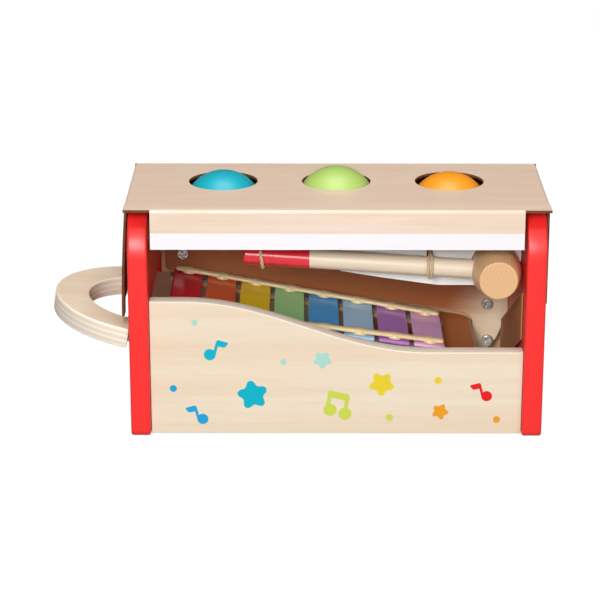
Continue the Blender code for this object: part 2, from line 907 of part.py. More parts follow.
def make_mallet(frame):
    """Barrel head with a handle in a blind socket."""
    half = mallet_head_length / 2
    profile = [(0.0, half), (mallet_face_radius - mallet_face_round, half)]
    for i in range(barrel_steps + 1):
        height = (half - mallet_face_round) * (1 - 2 * i / barrel_steps)
        profile.append((barrel_radius(height), height))
    profile += [(mallet_face_radius - mallet_face_round, -half), (0.0, -half)]
    head = turned(
        "mallet_head",
        profile,
        mallet_wood,
        frame,
        (mallet_head_place, mallet_middle, mallet_head_height),
        (math.pi / 2, 0.0, 0.0),
    )
    inner = mallet_head_place - mallet_head_radius + stick_socket_depth
    outside = mallet_head_place - mallet_head_radius - cut_overrun
    end = (inner + seat_gap, mallet_middle, stick_height(inner + seat_gap))
    mouth = (outside, mallet_middle, stick_height(outside))
    socket = [(stick_radius + seat_gap, mouth, end)]
    cut(head, rods_mesh("handle_socket", socket, round_segments))

    start = Vector((stick_end, mallet_middle, stick_height(stick_end)))
    stop = Vector((inner, mallet_middle, stick_height(inner)))
    length = (stop - start).length
    edge = stick_radius - stick_end_round
    stick = [(0.0, length), (stick_radius, length), (stick_radius, stick_end_round)]
    stick += [(edge + stick_end_round / 2, stick_end_round / 4), (edge, 0.0), (0.0, 0.0)]
    lean = (0.0, math.atan2((stop - start).x, (stop - start).z), 0.0)
    turned("mallet_handle", stick, mallet_wood, frame, start, lean)


def tie_loop(x, round_card):
    """A loop of twine round the handle, drawn out round the card behind it or closed close to it."""
    radius = stick_radius + twine_radius + twine_gap
    height = stick_height(x)
    behind = mallet_card_gap + mallet_card_thickness if round_card else 0.0
    points = []
    for i in range(tie_steps):
        angle = 2 * math.pi * i / tie_steps
        depth = mallet_middle - radius * math.cos(angle)
        if math.cos(angle) < 0:
            depth += behind
        points.append((x, depth, height + radius * math.sin(angle)))
    return points


def make_ties(frame):
    """Twine that ties the handle: one turn at the dipped end and two by the head."""
    left = tube_mesh("tie_left", tie_loop(tie_left_place, False), twine_radius)
    add_object("tie_left", left, twine, frame)
    offset = tie_strand_pitch / 2
    strands = [
        tube_mesh("tie_right", tie_loop(tie_right_place + side * offset, True), twine_radius)
        for side in (-1, 1)
    ]
    join_to(add_object("tie_right", strands[0], twine, frame), strands[1])


def make_mallet_card(frame):
    """Card tab behind the handle, hung under the top board, with holes for the twine and the head."""
    front = mallet_middle + stick_radius + mallet_card_gap
    top = board_underside - seat_gap
    tuck = mallet_head_place - card_tuck
    corners = (
        (mallet_card_start, top, 0.0),
        (mallet_card_start, stick_height(mallet_card_start) - card_dip_left, 0.0),
        (mallet_card_start + card_dip_run, stick_height(mallet_card_start) - card_dip_middle, card_dip_run),
        (tuck - card_dip_run, stick_height(tuck) - card_dip_right, card_dip_run),
        (tuck, stick_height(tuck) - card_dip_right, 0.0),
        (mallet_head_place, mallet_head_height, 0.0),
        (mallet_card_end, top - card_corner_drop, 0.0),
        (mallet_card_end, top, 0.0),
    )
    mesh = plate_mesh("mallet_card", [rounded(corners)], mallet_card_thickness)
    place = (0.0, front + mallet_card_thickness / 2, 0.0)
    card = add_object("mallet_card", mesh, grey_card, frame, place, UPRIGHT)
    radius = stick_radius + twine_radius + twine_gap
    height = stick_height(tie_right_place)
    reach = stick_radius - mallet_card_thickness / 2
    rise = math.sqrt(radius * radius - reach * reach)
    half = tie_strand_pitch / 2 + twine_radius + twine_gap
    for side, word in ((-1, "low"), (1, "high")):
        low = (tie_right_place - half, front - cut_overrun, height + side * rise - card_hole_half)
        high = (tie_right_place + half, front + cut_overrun * 2, height + side * rise + card_hole_half)
        cut(card, box_mesh("twine_hole_" + word, low, high), frame)
    clear = barrel_radius(front - mallet_middle) + card_head_gap
    ends = [(mallet_head_place, depth, mallet_head_height) for depth in (low[1], high[1])]
    cut(card, rods_mesh("head_space", [(clear, *ends)], round_segments), frame)


def make_sleeve(frame):
    """Printed card sleeve: a sheet folded over the top, with a short front flap and a full back."""
    fold_depth = sleeve_top_depth
    rear_in = bench_depth + seat_gap
    low_fold = sleeve_under - sleeve_back_fold
    front_out = seat_gap
    front_in = front_out + card_thickness
    outline = (
        (front_out, sleeve_flap_bottom),
        (front_in, sleeve_flap_bottom),
        (front_in, sleeve_under),
        (fold_depth, sleeve_under),
        (rear_in, low_fold),
        (rear_in, sleeve_floor_gap),
        (rear_in + card_thickness, sleeve_floor_gap),
        (rear_in + card_thickness, low_fold + card_thickness / 2),
        (fold_depth + card_thickness / 4, sleeve_top),
        (front_out, sleeve_top),
    )
    mesh = plate_mesh("card_sleeve", [outline], flap_outer * 2)
    sleeve = add_object("card_sleeve", mesh, printed_card, frame, (0.0, 0.0, 0.0), SIDEWAYS)
    for side, name in ((-1, "left"), (1, "right")):
        near = side * sleeve_flap_half_width
        far = side * (flap_outer + cut_overrun)
        low = (min(near, far), front_out - cut_overrun, sleeve_flap_bottom - cut_overrun)
        high = (max(near, far), front_in + seat_gap, sleeve_under)
        cut(sleeve, box_mesh("flap_notch_" + name, low, high), frame)
    below, above = sleeve_under - cut_overrun, sleeve_top + cut_overrun
    rods = [
        (sleeve_hole_radius, (x, ball_row, below), (x, ball_row, above))
        for x in ball_places().values()
    ]
    cut(sleeve, rods_mesh("sleeve_holes", rods, ring_segments), frame)
    for side in (-1, 1):
        join_to(sleeve, side_flap_mesh(side))
    low = (-flap_outer - side_flap_flare - cut_overrun, tongue_rear, tongue_bottom - cut_overrun)
    high = (-side_inner, sleeve_top_depth + cut_overrun, side_flap_bottom)
    cut(sleeve, box_mesh("slot_clearance", low, high), frame)


def side_flap_mesh(side):
    """A side flap that hangs outside a side panel; the left one is longer and flares out."""
    flare, bottom = (side_flap_flare, tongue_bottom) if side < 0 else (0.0, side_flap_bottom)
    inner = bench_width / 2 + seat_gap
    fold = sleeve_under + card_thickness / 2
    rows = []
    for i in range(side_flap_steps + 1):
        share = i / side_flap_steps
        rows.append((inner + flare * math.cos(math.pi / 2 * share), bottom + (fold - bottom) * share))
    outline = rows + [(x + card_thickness, z) for x, z in rows[::-1]]
    outline = [(side * x, z) for x, z in outline]
    mesh = plate_mesh("side_flap", [outline], sleeve_top_depth - side_flap_front)
    turn = Matrix.Rotation(math.pi / 2, 4, "X")
    middle = Matrix.Translation((0.0, (sleeve_top_depth + side_flap_front) / 2, 0.0))
    mesh.transform(middle @ turn)
    return mesh


def make_brace():
    """Kraft strip that leans between the right side panel's inner face and the guide wall's foot."""
    front = front_rear + brace_front_room
    back = wall_front - brace_back_room
    outline = (
        (0.0, brace_front_low),
        (back - front, brace_front_low - brace_fall),
        (back - front, brace_front_low - brace_fall + brace_width_up),
        (0.0, brace_front_low + brace_width_up),
    )
    mesh = plate_mesh("card_brace", [outline], brace_thickness)
    place = (side_inner - seat_gap - brace_thickness / 2, front, 0.0)
    turn = (SIDEWAYS[0], SIDEWAYS[1], SIDEWAYS[2] + brace_lean)
    add_object("card_brace", mesh, kraft_card, bench, place, turn)


def main():
    """Make every piece."""
    make_side_panels()
    make_front_panel()
    make_back_board()
    make_guide_wall()
    make_wall_screws()
    make_top_board()
    make_ball_rings()
    make_balls()
    make_dowels()
    make_runners()
    make_tray()
    make_bars()
    make_keys()
    make_key_screws()
    mallet_frame = empty("mallet_slide_axis", bench, (0.0, 0.0, 0.0))
    make_mallet(mallet_frame)
    make_ties(mallet_frame)
    make_mallet_card(mallet_frame)
    sleeve_frame = empty("sleeve_lift_axis", bench, (0.0, 0.0, 0.0))
    make_sleeve(sleeve_frame)
    make_brace()


main()
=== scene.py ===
"""Toy hammer bench with a slide-out xylophone: the surfaces, finishes and stage over its packed model.

Bench places are in millimetres from the bench datum: x from the middle of the bench, y back from its
front plane, z up from the floor. Tray places run along the tray's slope, back, and up from its top face.
"""

import math

import bmesh
import bpy
import numpy as np
from bpy.props import FloatProperty, FloatVectorProperty, IntProperty, PointerProperty
from bpy.types import NodeSocket, Operator, Panel, PropertyGroup
from mathutils.geometry import tessellate_polygon
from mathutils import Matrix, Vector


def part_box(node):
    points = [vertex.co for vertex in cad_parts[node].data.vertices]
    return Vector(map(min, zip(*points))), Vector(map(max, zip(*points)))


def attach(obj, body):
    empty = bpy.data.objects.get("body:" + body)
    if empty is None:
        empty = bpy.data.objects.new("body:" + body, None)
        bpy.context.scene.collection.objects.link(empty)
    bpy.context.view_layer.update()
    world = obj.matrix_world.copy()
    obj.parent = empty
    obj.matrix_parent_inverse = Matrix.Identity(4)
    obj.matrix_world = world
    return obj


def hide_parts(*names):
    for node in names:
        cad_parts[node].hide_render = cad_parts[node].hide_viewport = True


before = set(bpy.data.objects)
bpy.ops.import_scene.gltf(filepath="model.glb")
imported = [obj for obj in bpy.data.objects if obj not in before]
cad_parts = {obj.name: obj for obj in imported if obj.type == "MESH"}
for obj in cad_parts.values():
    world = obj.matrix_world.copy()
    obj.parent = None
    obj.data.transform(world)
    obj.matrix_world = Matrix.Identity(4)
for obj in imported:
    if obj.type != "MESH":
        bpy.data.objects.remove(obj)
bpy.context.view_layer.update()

bl_info = {
    "name": "Toy hammer bench and xylophone",
    "version": (1, 0, 0),
    "blender": (4, 5, 0),
    "location": "3D View > Sidebar > Toy bench",
    "description": "Builds the surfaces and finishes of a wooden hammer bench with a slide-out xylophone",
    "category": "Add Mesh",
}

MM = 0.001
# The keys from left to right, and the places across and up of the balls' and the wall screws' middles
PAINTS = ("red", "orange", "yellow", "green", "blue", "light_blue", "purple", "lilac")
BALLS = {"left": (-69.6, 125.3), "middle": (0.0, 128.0), "right": (69.6, 124.3)}
WALL_SCREWS = {"left": (-98.1, 81.35), "right": (99.3, 47.3), "foot": (99.8, 22.4)}

# Half the bench's width, and half the length of the boards between its side panels
SIDE_HALF, BOARD_HALF = 125.0, 112.7
PANEL_THICK, PANEL_DEPTH, PANEL_HEIGHT = 12, 130, 142
# Both faces of a board: the front panel's and the wall's from front to back, the top board's from below
FRONT_FACES, WALL_FACES, TOP_FACES = (4, 14), (114, 123), (116, 125)
# The balls' radius, and the depth of their middles, of the ring handle's and of the card's round holes
BALL_LINE, BALL_RADIUS = 65, 25

# The tray's slope, the height of its top face at the bench's left side, its two long edges, and its keys
SLOPE = math.radians(8.36)
TRAY_HEIGHT, TRAY_THICK = 68.3, 12
TRAY_FRONT, TRAY_REAR = 15, 122.3
FIRST_KEY, KEY_PITCH = 30.3, 21.9
KEY_PLACES = FIRST_KEY + KEY_PITCH * np.arange(len(PAINTS))
# The depth of each strip's line at the first and at the last key
STRIP_LINES = {"front": (29.3, 36.6), "rear": (107.1, 89.6)}

# The middle of the mallet's head, and the rise of its handle for each millimetre away from it
HEAD = np.array([96.5, 23.2, 99.6])
STICK_RISE = 0.067

panel_low = np.array(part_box("left_side_panel")[0])
bench_datum = panel_low + np.array([SIDE_HALF * MM, 0.0, 0.0])

# Each frame gives the bench directions of a board's own two axes and its thickness, and its origin
ACROSS, BACK, UP = np.eye(3)
FLAT = (np.eye(3), np.zeros(3))
FACING = (np.array([ACROSS, UP, -BACK]), np.zeros(3))
SIDEWAYS = (np.array([BACK, UP, ACROSS]), np.zeros(3))
ON_TRAY = (
    np.array([[math.cos(SLOPE), 0, -math.sin(SLOPE)], [0, 1, 0], [math.sin(SLOPE), 0, math.cos(SLOPE)]]),
    np.array([-SIDE_HALF, 0.0, TRAY_HEIGHT]),
)


def linear(colour):
    """An sRGB hex colour as linear values: a line below the curve's knee, a power above it."""
    channels = np.array([int(colour[i : i + 2], 16) / 255 for i in (0, 2, 4)])
    curved = ((channels + 0.055) / 1.055) ** 2.4
    return tuple(float(c) for c in np.where(channels <= 0.04045, channels / 12.92, curved))


def length(name, default, text):
    """A length property in metres, given in millimetres."""
    return FloatProperty(
        name=name, description=text, default=default * MM, min=0.0, unit="LENGTH", precision=5
    )


def colour(name, default, text):
    """A colour property from an sRGB hex colour."""
    return FloatVectorProperty(
        name=name, description=text, default=linear(default), size=3, min=0.0, max=1.0, subtype="COLOR"
    )


class BenchSizes(PropertyGroup):
    """Sizes of the bench and its sleeve that the packed model leaves to the finish."""

    panel_edge: length("Panel edge", 1.5, "Rounding of the red panels' edges")
    board_edge: length("Board edge", 0.5, "Rounding of the plywood boards' edges")
    handle_edge: length("Handle edge", 0.9, "Rounding of the tray and its ring handle")
    key_edge: length("Key edge", 0.5, "Rounding of the metal keys")
    card: length("Card", 1.6, "Thickness of the sleeve's corrugated card")
    card_fold: length("Card fold", 1.9, "Outer radius of the sleeve's folds")
    print_height: length("Print height", 0.06, "How far the printed motifs stand over the front panel")
    plies: IntProperty(name="Plies", description="Plies in a plywood board", default=7, min=3, max=15)


class BenchColours(PropertyGroup):
    """Colours of the bench, its xylophone, its mallet and its sleeve."""

    red: colour("Red lacquer", "F02522", "Side panels")
    plywood: colour("Plywood", "E6DAC5", "Faces of the front panel and the tray")
    plywood_warm: colour("Plywood figure", "E2CBAF", "Warmer bands of the plywood's figure")
    # Painted light and shade: the wall is pale where its foot is lit and brown where it lies in shade; the
    # tray's amber end is painted shade
    sap: colour("Plywood sapwood", "FDEBCB", "Pale end of the wall behind the keys")
    heart: colour("Plywood heart", "AB6231", "Brown heartwood of the wall behind the keys")
    tray_heart: colour("Tray heart", "C87A44", "Amber heartwood at the tray's right end")
    ply_light: colour("Ply, long grain", "F5EDE1", "Plies seen along the grain")
    ply_dark: colour("Ply, end grain", "E1D0B8", "Plies seen across the grain")
    softwood: colour("Plain wood", "DDB484", "Hidden boards and battens")
    beech: colour("Mallet wood", "DFB587", "Mallet head")
    beech_dark: colour("Mallet wood rings", "C08850", "Growth rings of the mallet head")
    stick: colour("Handle wood", "EBD9C0", "Mallet handle")
    grip: colour("Handle paint", "E22B38", "Dipped end of the mallet handle")
    strip: colour("Strip wood", "F4DBAA", "Strips over the keys")
    twine: colour("Twine", "DCC096", "Cotton twine")
    steel: colour("Zinc", "DAD6D0", "Screws")
    card: colour("Printed wood", "E4D1C2", "Wood pattern printed on the sleeve")
    card_streak: colour("Printed grain", "D3B595", "Grain lines of the printed pattern")
    band: colour("Printed band", "EAE8EC", "Pale band along the flap's lower edge")
    kraft: colour("Brown card", "8E5630", "Inside of the card")
    brace: colour("Brown card strip", "B5774A", "Strip by the right side panel")
    # The flutes' hollows are painted shade
    flute: colour("Card edge", "5E3A20", "Hollows in the card's cut edge")
    grey: colour("Grey card", "F1F1F0", "Card behind the mallet")
    ball_left: colour("Left ball", "00A5B9", "Cyan ball")
    ball_middle: colour("Middle ball", "A7C669", "Green ball")
    ball_right: colour("Right ball", "F0981A", "Orange ball")
    key_red: colour("Red key", "DC1030", "First key")
    key_orange: colour("Orange key", "EC6230", "Second key")
    key_yellow: colour("Yellow key", "FFD824", "Third key")
    key_green: colour("Green key", "A9E69D", "Fourth key")
    key_blue: colour("Blue key", "48ACF2", "Fifth key")
    key_light_blue: colour("Light blue key", "B2DEFF", "Sixth key")
    key_purple: colour("Purple key", "BC84D6", "Seventh key")
    key_lilac: colour("Lilac key", "EEBBEC", "Eighth key")


# Surfaces: whole arrays of points, and faces as rows of indices


def span(start, end, step):
    """Evenly spaced angles from start to end, no further apart than step."""
    return np.linspace(start, end, max(2, math.ceil(abs(end - start) / step) + 1))


def arc(centre, radius, start, end, step=math.radians(5)):
    """Arc: centre plus radius times (cos, sin) of evenly spaced angles."""
    angle = span(start, end, step)
    return np.column_stack([centre[0] + radius * np.cos(angle), centre[1] + radius * np.sin(angle)])


def circle(x, y, radius, step=12):
    """Closed outline of a circle, its points a step of degrees apart."""
    return arc((x, y), radius, 0, 2 * math.pi, math.radians(step))[:-1]


def rounded(corners, step=math.radians(7)):
    """Closed outline: each (x, y, radius) corner becomes the arc that touches both of its sides."""
    places = np.array([corner[:2] for corner in corners], float)
    outline = []
    for i, (*_, radius) in enumerate(corners):
        here = places[i]
        if not radius:
            outline.append(here[None])
            continue
        before = places[i - 1] - here
        after = places[(i + 1) % len(corners)] - here
        before, after = before / np.linalg.norm(before), after / np.linalg.norm(after)
        half = math.acos(np.clip(before @ after, -1.0, 1.0)) / 2
        middle = (before + after) / np.linalg.norm(before + after)
        centre = here + middle * radius / math.sin(half)
        first = here + before * radius / math.tan(half) - centre
        last = here + after * radius / math.tan(half) - centre
        start, end = math.atan2(first[1], first[0]), math.atan2(last[1], last[0])
        sweep = (end - start + math.pi) % (2 * math.pi) - math.pi
        outline.append(arc(centre, radius, start, start + sweep, step))
    return np.concatenate(outline)


def area(loop):
    """Signed area of a closed outline: half the sum of the cross products of its sides."""
    following = np.roll(loop, -1, axis=0)
    return 0.5 * float(np.sum(loop[:, 0] * following[:, 1] - following[:, 0] * loop[:, 1]))


def moved_in(loop, distance):
    """Outline shifted inward: a point goes against its sides' summed normals over one plus their product."""
    before = loop - np.roll(loop, 1, axis=0)
    before = before / np.linalg.norm(before, axis=1, keepdims=True)
    after = np.roll(before, -1, axis=0)
    first, second = (np.column_stack([side[:, 1], -side[:, 0]]) for side in (before, after))
    mitre = (first + second) / (1.0 + np.sum(first * second, axis=1, keepdims=True))
    return loop - mitre * distance


def raised(loop, height):
    """A flat outline's points at a height."""
    return np.column_stack([loop, np.full(len(loop), height)])


def grid_faces(rows, columns, around=False, closed=False):
    """Quads of a grid; around joins its last column to its first, closed its last row to its first."""
    index = np.arange(rows * columns).reshape(rows, columns)
    if around:
        index = np.concatenate([index, index[:, :1]], axis=1)
    if closed:
        index = np.concatenate([index, index[:1]], axis=0)
    corners = [index[:-1, :-1], index[:-1, 1:], index[1:, 1:], index[1:, :-1]]
    return np.stack([corner.ravel() for corner in corners], axis=1)


def filled(loops, facing_up):
    """Triangles that fill an outline with its holes, all turned to face up or down."""
    triangles = np.array(tessellate_polygon([raised(loop, 0.0).tolist() for loop in loops]))
    points = np.concatenate(loops)[triangles]
    one, two = points[:, 1] - points[:, 0], points[:, 2] - points[:, 0]
    turned_over = (one[:, 0] * two[:, 1] - one[:, 1] * two[:, 0] > 0) != facing_up
    triangles[turned_over] = triangles[turned_over][:, ::-1]
    return triangles


def board(outline, holes, low, high, edge, sockets=(), steps=4, lean=0.0):
    """Board with rounded edges: a ring lies r(1 - sin a) inside its outline and r(1 - cos a) from a face.

    One more ring inside the rounding keeps the face flat. A socket is (x, y, radius, depth) in the low face.
    lean shears the holes' rings along the second axis. Returns points, faces, and two numbers per point: its
    height through the board, and whether it is on the cut edge.
    """
    outline = outline if area(outline) > 0 else outline[::-1]
    holes = [hole if area(hole) < 0 else hole[::-1] for hole in holes]
    turn = np.linspace(0, math.pi / 2, steps + 1)
    inset, rise = edge * (1 - np.sin(turn)), edge * (1 - np.cos(turn))
    flat = [edge + min(0.3, edge)]
    inset = np.concatenate([flat, inset, inset[::-1], flat])
    height = np.concatenate([[low], low + rise, (high - rise)[::-1], [high]])
    on_edge = (inset < edge * 0.999).astype(float)
    points, faces, through, cut, first, last, count = [], [], [], [], [], [], 0
    for number, loop in enumerate([outline, *holes]):
        rings = np.stack([moved_in(loop, distance) for distance in inset])
        if number and lean:
            rings[:, :, 1] += (lean * (height - low))[:, None]
        rows, columns = rings.shape[:2]
        points += [raised(ring, level) for ring, level in zip(rings, height)]
        faces += (grid_faces(rows, columns, around=True) + count).tolist()
        through.append(np.repeat((height - low) / (high - low), columns))
        cut.append(np.repeat(on_edge, columns))
        first.append((rings[0], np.arange(columns) + count))
        last.append((rings[-1], np.arange(columns) + count + (rows - 1) * columns))
        count += rows * columns
    for x, y, radius, depth in sockets:
        ring = arc((x, y), radius, 2 * math.pi, 0.0, math.radians(24))[:-1]
        index = np.arange(len(ring)) + count
        points += [raised(ring, low), raised(ring, low + depth)]
        faces += (grid_faces(2, len(ring), around=True) + count).tolist()
        faces.append((index + len(ring)).tolist())
        through.append(np.zeros(2 * len(ring)))
        cut.append(np.zeros(2 * len(ring)))
        first.append((ring, index))
        count += 2 * len(ring)
    for rings, up in ((first, False), (last, True)):
        order = np.concatenate([index for _, index in rings])
        faces += order[filled([ring for ring, _ in rings], up)].tolist()
    return np.concatenate(points), faces, {"through": np.concatenate(through), "cut": np.concatenate(cut)}


def lathe(profile, segments):
    """Turned shape: a profile of (radius, height) carried round the third axis as (r cos t, r sin t, h)."""
    profile = np.asarray(profile, float)
    turn = np.linspace(0, 2 * math.pi, segments, endpoint=False)
    radius, height = profile[:, :1], profile[:, 1:]
    points = np.stack([radius * np.cos(turn), radius * np.sin(turn), height + 0 * turn], axis=2)
    return points.reshape(-1, 3), grid_faces(len(profile), segments, around=True).tolist()


def joined(*shapes):
    """Several (points, faces) shapes as one."""
    points, faces, count = [], [], 0
    for some_points, some_faces in shapes:
        points.append(some_points)
        faces += [[corner + count for corner in face] for face in some_faces]
        count += len(some_points)
    return np.concatenate(points), faces


def shifted(shape, offset):
    """A shape moved by an offset."""
    return shape[0] + np.asarray(offset, float), shape[1]


def smoothstep(value):
    """3 t^2 - 2 t^3 of a value held between 0 and 1."""
    value = np.clip(value, 0.0, 1.0)
    return value * value * (3 - 2 * value)


def weld(mesh):
    """Merge a mesh's doubles and turn its faces outward."""
    work = bmesh.new()
    work.from_mesh(mesh)
    bmesh.ops.remove_doubles(work, verts=work.verts, dist=0.002 * MM)
    bmesh.ops.recalc_face_normals(work, faces=work.faces)
    work.to_mesh(mesh)
    work.free()


def add_piece(node, work, shape, place, body, slot, *coats, sharp=50.0, per_face=None):
    """Link a surface as one piece: put in its frame, welded, turned outward, and riding on its body.

    It stands for a node of the model, and is named for it and for the work that makes it; with no work
    it is an extra. A shape may bring numbers per point, kept as attributes. Of several coats, per_face
    gives the number of each face's.
    """
    points, faces, *values = shape
    axes, origin = place
    name = node + "_" + work if work else node
    mesh = bpy.data.meshes.new(name)
    mesh.from_pydata(((points @ axes + origin) * MM + bench_datum).tolist(), [], faces)
    for key, value in (values[0] if values else {}).items():
        mesh.attributes.new(key, "FLOAT", "POINT").data.foreach_set("value", value.astype(np.float32))
    if per_face is not None:
        mesh.polygons.foreach_set("material_index", per_face.astype(np.int32))
    weld(mesh)
    mesh.shade_smooth()
    mesh.set_sharp_from_angle(angle=math.radians(sharp))
    piece = bpy.data.objects.new(name, mesh)
    bpy.context.scene.collection.objects.link(piece)
    for coat in coats:
        mesh.materials.append(coat)
    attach(piece, body)
    if work:
        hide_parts(node)


def dress(coat, *nodes):
    """Give carried-over pieces of the model their finish."""
    for node in nodes:
        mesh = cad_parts[node].data
        mesh.materials.clear()
        mesh.materials.append(coat)


# Finishes: each fills a material's tree, and its sizes are in millimetres


def add_node(tree, kind, *values, output=None, **named):
    """Add a node and return its output of that name, or else its first in use.

    The values go to its inputs in order, a name with a capital is an input too, and the other names are its
    settings. A value that is a socket becomes a link.
    """
    made = tree.nodes.new("ShaderNode" + kind)
    for key in filter(str.islower, named):
        setattr(made, key, named[key])
    inputs = [socket for socket in made.inputs if socket.enabled]
    by_name = {socket.name.replace(" ", "_"): socket for socket in inputs}
    given = [(by_name[key], value) for key, value in named.items() if not key.islower()]
    for socket, value in [*zip(inputs, values), *given]:
        if isinstance(value, NodeSocket):
            tree.links.new(value, socket)
        else:
            socket.default_value = (*value, 1.0) if socket.type == "RGBA" else value
    in_use = (socket for socket in made.outputs if socket.enabled)
    return made.outputs[output] if output else next(in_use, None)


def finish(name, make, *values, **named):
    """The material of that name, filled by its finish on first use."""
    if name in bpy.data.materials:
        return bpy.data.materials[name]
    material = bpy.data.materials.new(name)
    material.use_nodes = True
    material.node_tree.nodes.clear()
    make(material.node_tree, *values, **named)
    return material


def shaded(tree, face, relief, depth, strength=1.0, **sockets):
    """End a finish with its shader: a face colour, a relief of that depth, and values for its own sockets."""
    normal = add_node(tree, "Bump", Height=relief, Distance=depth * MM, Strength=strength)
    shader = add_node(tree, "BsdfPrincipled", Base_Color=face, Normal=normal, **sockets)
    add_node(tree, "OutputMaterial", shader)


def stretched(tree, spots):
    """Object coordinates divided by the sizes of a pattern's spots, so that its unit is that size."""
    place = add_node(tree, "TexCoord", output="Object")
    return add_node(tree, "Mapping", place, Scale=(1.0 / (np.ones(3) * spots * MM)).tolist())


def pattern(tree, spots, detail=3.0, roughness=0.6, low=0.3, high=0.7, distortion=0.0):
    """Noise with spots of those sizes, its middle range from low to high spread over 0 to 1."""
    noise = add_node(tree, "TexNoise", stretched(tree, spots), Scale=1.0, Detail=detail,
                     Roughness=roughness, Distortion=distortion)
    return add_node(tree, "MapRange", noise, low, high)


def layered(tree, face, *layers):
    """Colours laid over a face one after another, each by its mask times its share."""
    for mask, share, paint in layers:
        mask = add_node(tree, "Math", mask, share, operation="MULTIPLY")
        face = add_node(tree, "Mix", mask, face, paint, data_type="RGBA")
    return face


def darker(base, share):
    """A colour darkened to a share of itself."""
    return tuple(float(c) * share for c in base)


def wood(tree, light, figure, grain=(70, 3, 3), fibre=(14, 0.7, 0.7), ply=None, heart=None, **sockets):
    """Sanded wood: streaks along the grain, fine fibres, and wide warm bands.

    ply is (pale, dark, count): plies stacked on the cut edges. heart is (colour, x, width): darker heartwood
    that turns to the pale wood over that width around the scene's x, or the other way round for a negative
    width.
    """
    streak = pattern(tree, grain, detail=4.0, low=0.38, high=0.66, distortion=0.4)
    fibres = pattern(tree, fibre, detail=2.0)
    broad = pattern(tree, np.array(grain) * 5, detail=2.0, roughness=0.5, low=0.35)
    face = layered(tree, light, (broad, 0.85, figure), (streak, 0.18, darker(figure, 0.8)),
                   (fibres, 0.10, darker(figure, 0.64)))
    # Painted shade: a darker colour laid over the wood, fading to the pale wood across a soft edge
    if heart:
        shade_colour, middle, width = heart
        place = add_node(tree, "TexCoord", output="Object")
        side, high = (add_node(tree, "SeparateXYZ", place, output=axis) for axis in "XZ")
        # The painted shade's edge leans to the right as it rises, and wavers along the streaks
        across = add_node(tree, "Math", high, -0.6, side, operation="MULTIPLY_ADD")
        across = add_node(tree, "Math", streak, 6.0 * MM, across, operation="MULTIPLY_ADD")
        share = add_node(tree, "MapRange", across, (middle - width / 2) * MM, (middle + width / 2) * MM,
                         1.0, 0.0, interpolation_type="SMOOTHSTEP")
        face = layered(tree, face, (share, 1.0, layered(tree, shade_colour, (streak, 0.3, darker(shade_colour, 0.7)))))
    if ply:
        pale, dark, count = ply
        through = add_node(tree, "Attribute", attribute_name="through", output="Fac")
        layer = add_node(tree, "Math", through, count, operation="MULTIPLY")
        every_other = add_node(tree, "Math", layer, 2.0, operation="MODULO")
        every_other = add_node(tree, "Math", every_other, 1.0, operation="GREATER_THAN")
        inside = add_node(tree, "Math", layer, 1.0, operation="MODULO")
        from_middle = add_node(tree, "Math", inside, 0.5, operation="SUBTRACT")
        from_middle = add_node(tree, "Math", from_middle, operation="ABSOLUTE")
        glue = add_node(tree, "Math", from_middle, 0.40, operation="GREATER_THAN")
        pores = pattern(tree, (2.2, 2.2, 0.8))
        edge = layered(tree, pale, (every_other, 0.7, dark), (glue, 0.3, darker(dark, 0.72)),
                       (pores, 0.22, darker(dark, 0.85)))
        cut = add_node(tree, "Attribute", attribute_name="cut", output="Fac")
        cut = add_node(tree, "Math", cut, 0.5, operation="GREATER_THAN")
        face = layered(tree, face, (cut, 1.0, edge))
    shaded(tree, face, fibres, depth=0.03, strength=0.6, **sockets)


def lacquer(tree, base, ripple, relief, tint=0.12, **sockets):
    """Sprayed or dipped colour coat: even colour with a faint cloud, and the slow ripple of a flowed film."""
    cloud = pattern(tree, 30, detail=2.0, roughness=0.5)
    wave = pattern(tree, ripple, detail=2.0, roughness=0.5, low=0.2, high=0.8)
    shaded(tree, layered(tree, base, (cloud, tint, darker(base, 0.86))), wave, relief, **sockets)


def end_grain_beech(tree, light, dark, heart=(60.0, 0.0, 125.6), gap=2.244):
    """Turned beech, waxed: growth rings round a heart beside the head cross its face as slanting arcs."""
    place = add_node(tree, "TexCoord", output="Object")
    middle = [-along * MM for along in heart]
    place = add_node(tree, "Mapping", place, Location=middle, Scale=(1.0, 0.03, 1.0))
    # The wave has ten rings to each pi of its own units
    rings = add_node(tree, "TexWave", place, Scale=math.pi / 10 / (gap * MM), Distortion=2.2, Detail=3.0,
                     Detail_Scale=1.2, output="Fac", wave_type="RINGS", rings_direction="Y")
    fibres = pattern(tree, (0.8, 16, 0.8), detail=2.0)
    face = layered(tree, light, (rings, 0.14, dark), (fibres, 0.18, darker(dark, 0.85)))
    shaded(tree, face, fibres, depth=0.03, strength=0.5, Roughness=0.42, Coat_Weight=0.25, Coat_Roughness=0.3)


def dipped_stick(tree, light, figure, paint, line_x):
    """Birch dowel with its end dipped in gloss paint: pale waxed wood up to a slightly uneven paint line."""
    place = add_node(tree, "TexCoord", output="Object")
    along = add_node(tree, "SeparateXYZ", place, output="X")
    waver = pattern(tree, 4, detail=1.0, roughness=0.5, low=0.0, high=1.0)
    along = add_node(tree, "Math", waver, 0.6 * MM, along, operation="MULTIPLY_ADD")
    painted = add_node(tree, "Math", along, line_x * MM, operation="LESS_THAN")
    fibres = pattern(tree, (22, 0.9, 0.9))
    streak = pattern(tree, (60, 4, 4), low=0.35)
    face = layered(tree, light, (streak, 0.45, figure), (fibres, 0.16, darker(figure, 0.8)),
                   (painted, 1.0, paint))
    rough = add_node(tree, "MapRange", painted, To_Min=0.45, To_Max=0.22)
    shaded(tree, face, fibres, depth=0.02, strength=0.5, Roughness=rough, Coat_Weight=0.3,
           Coat_Roughness=0.25)


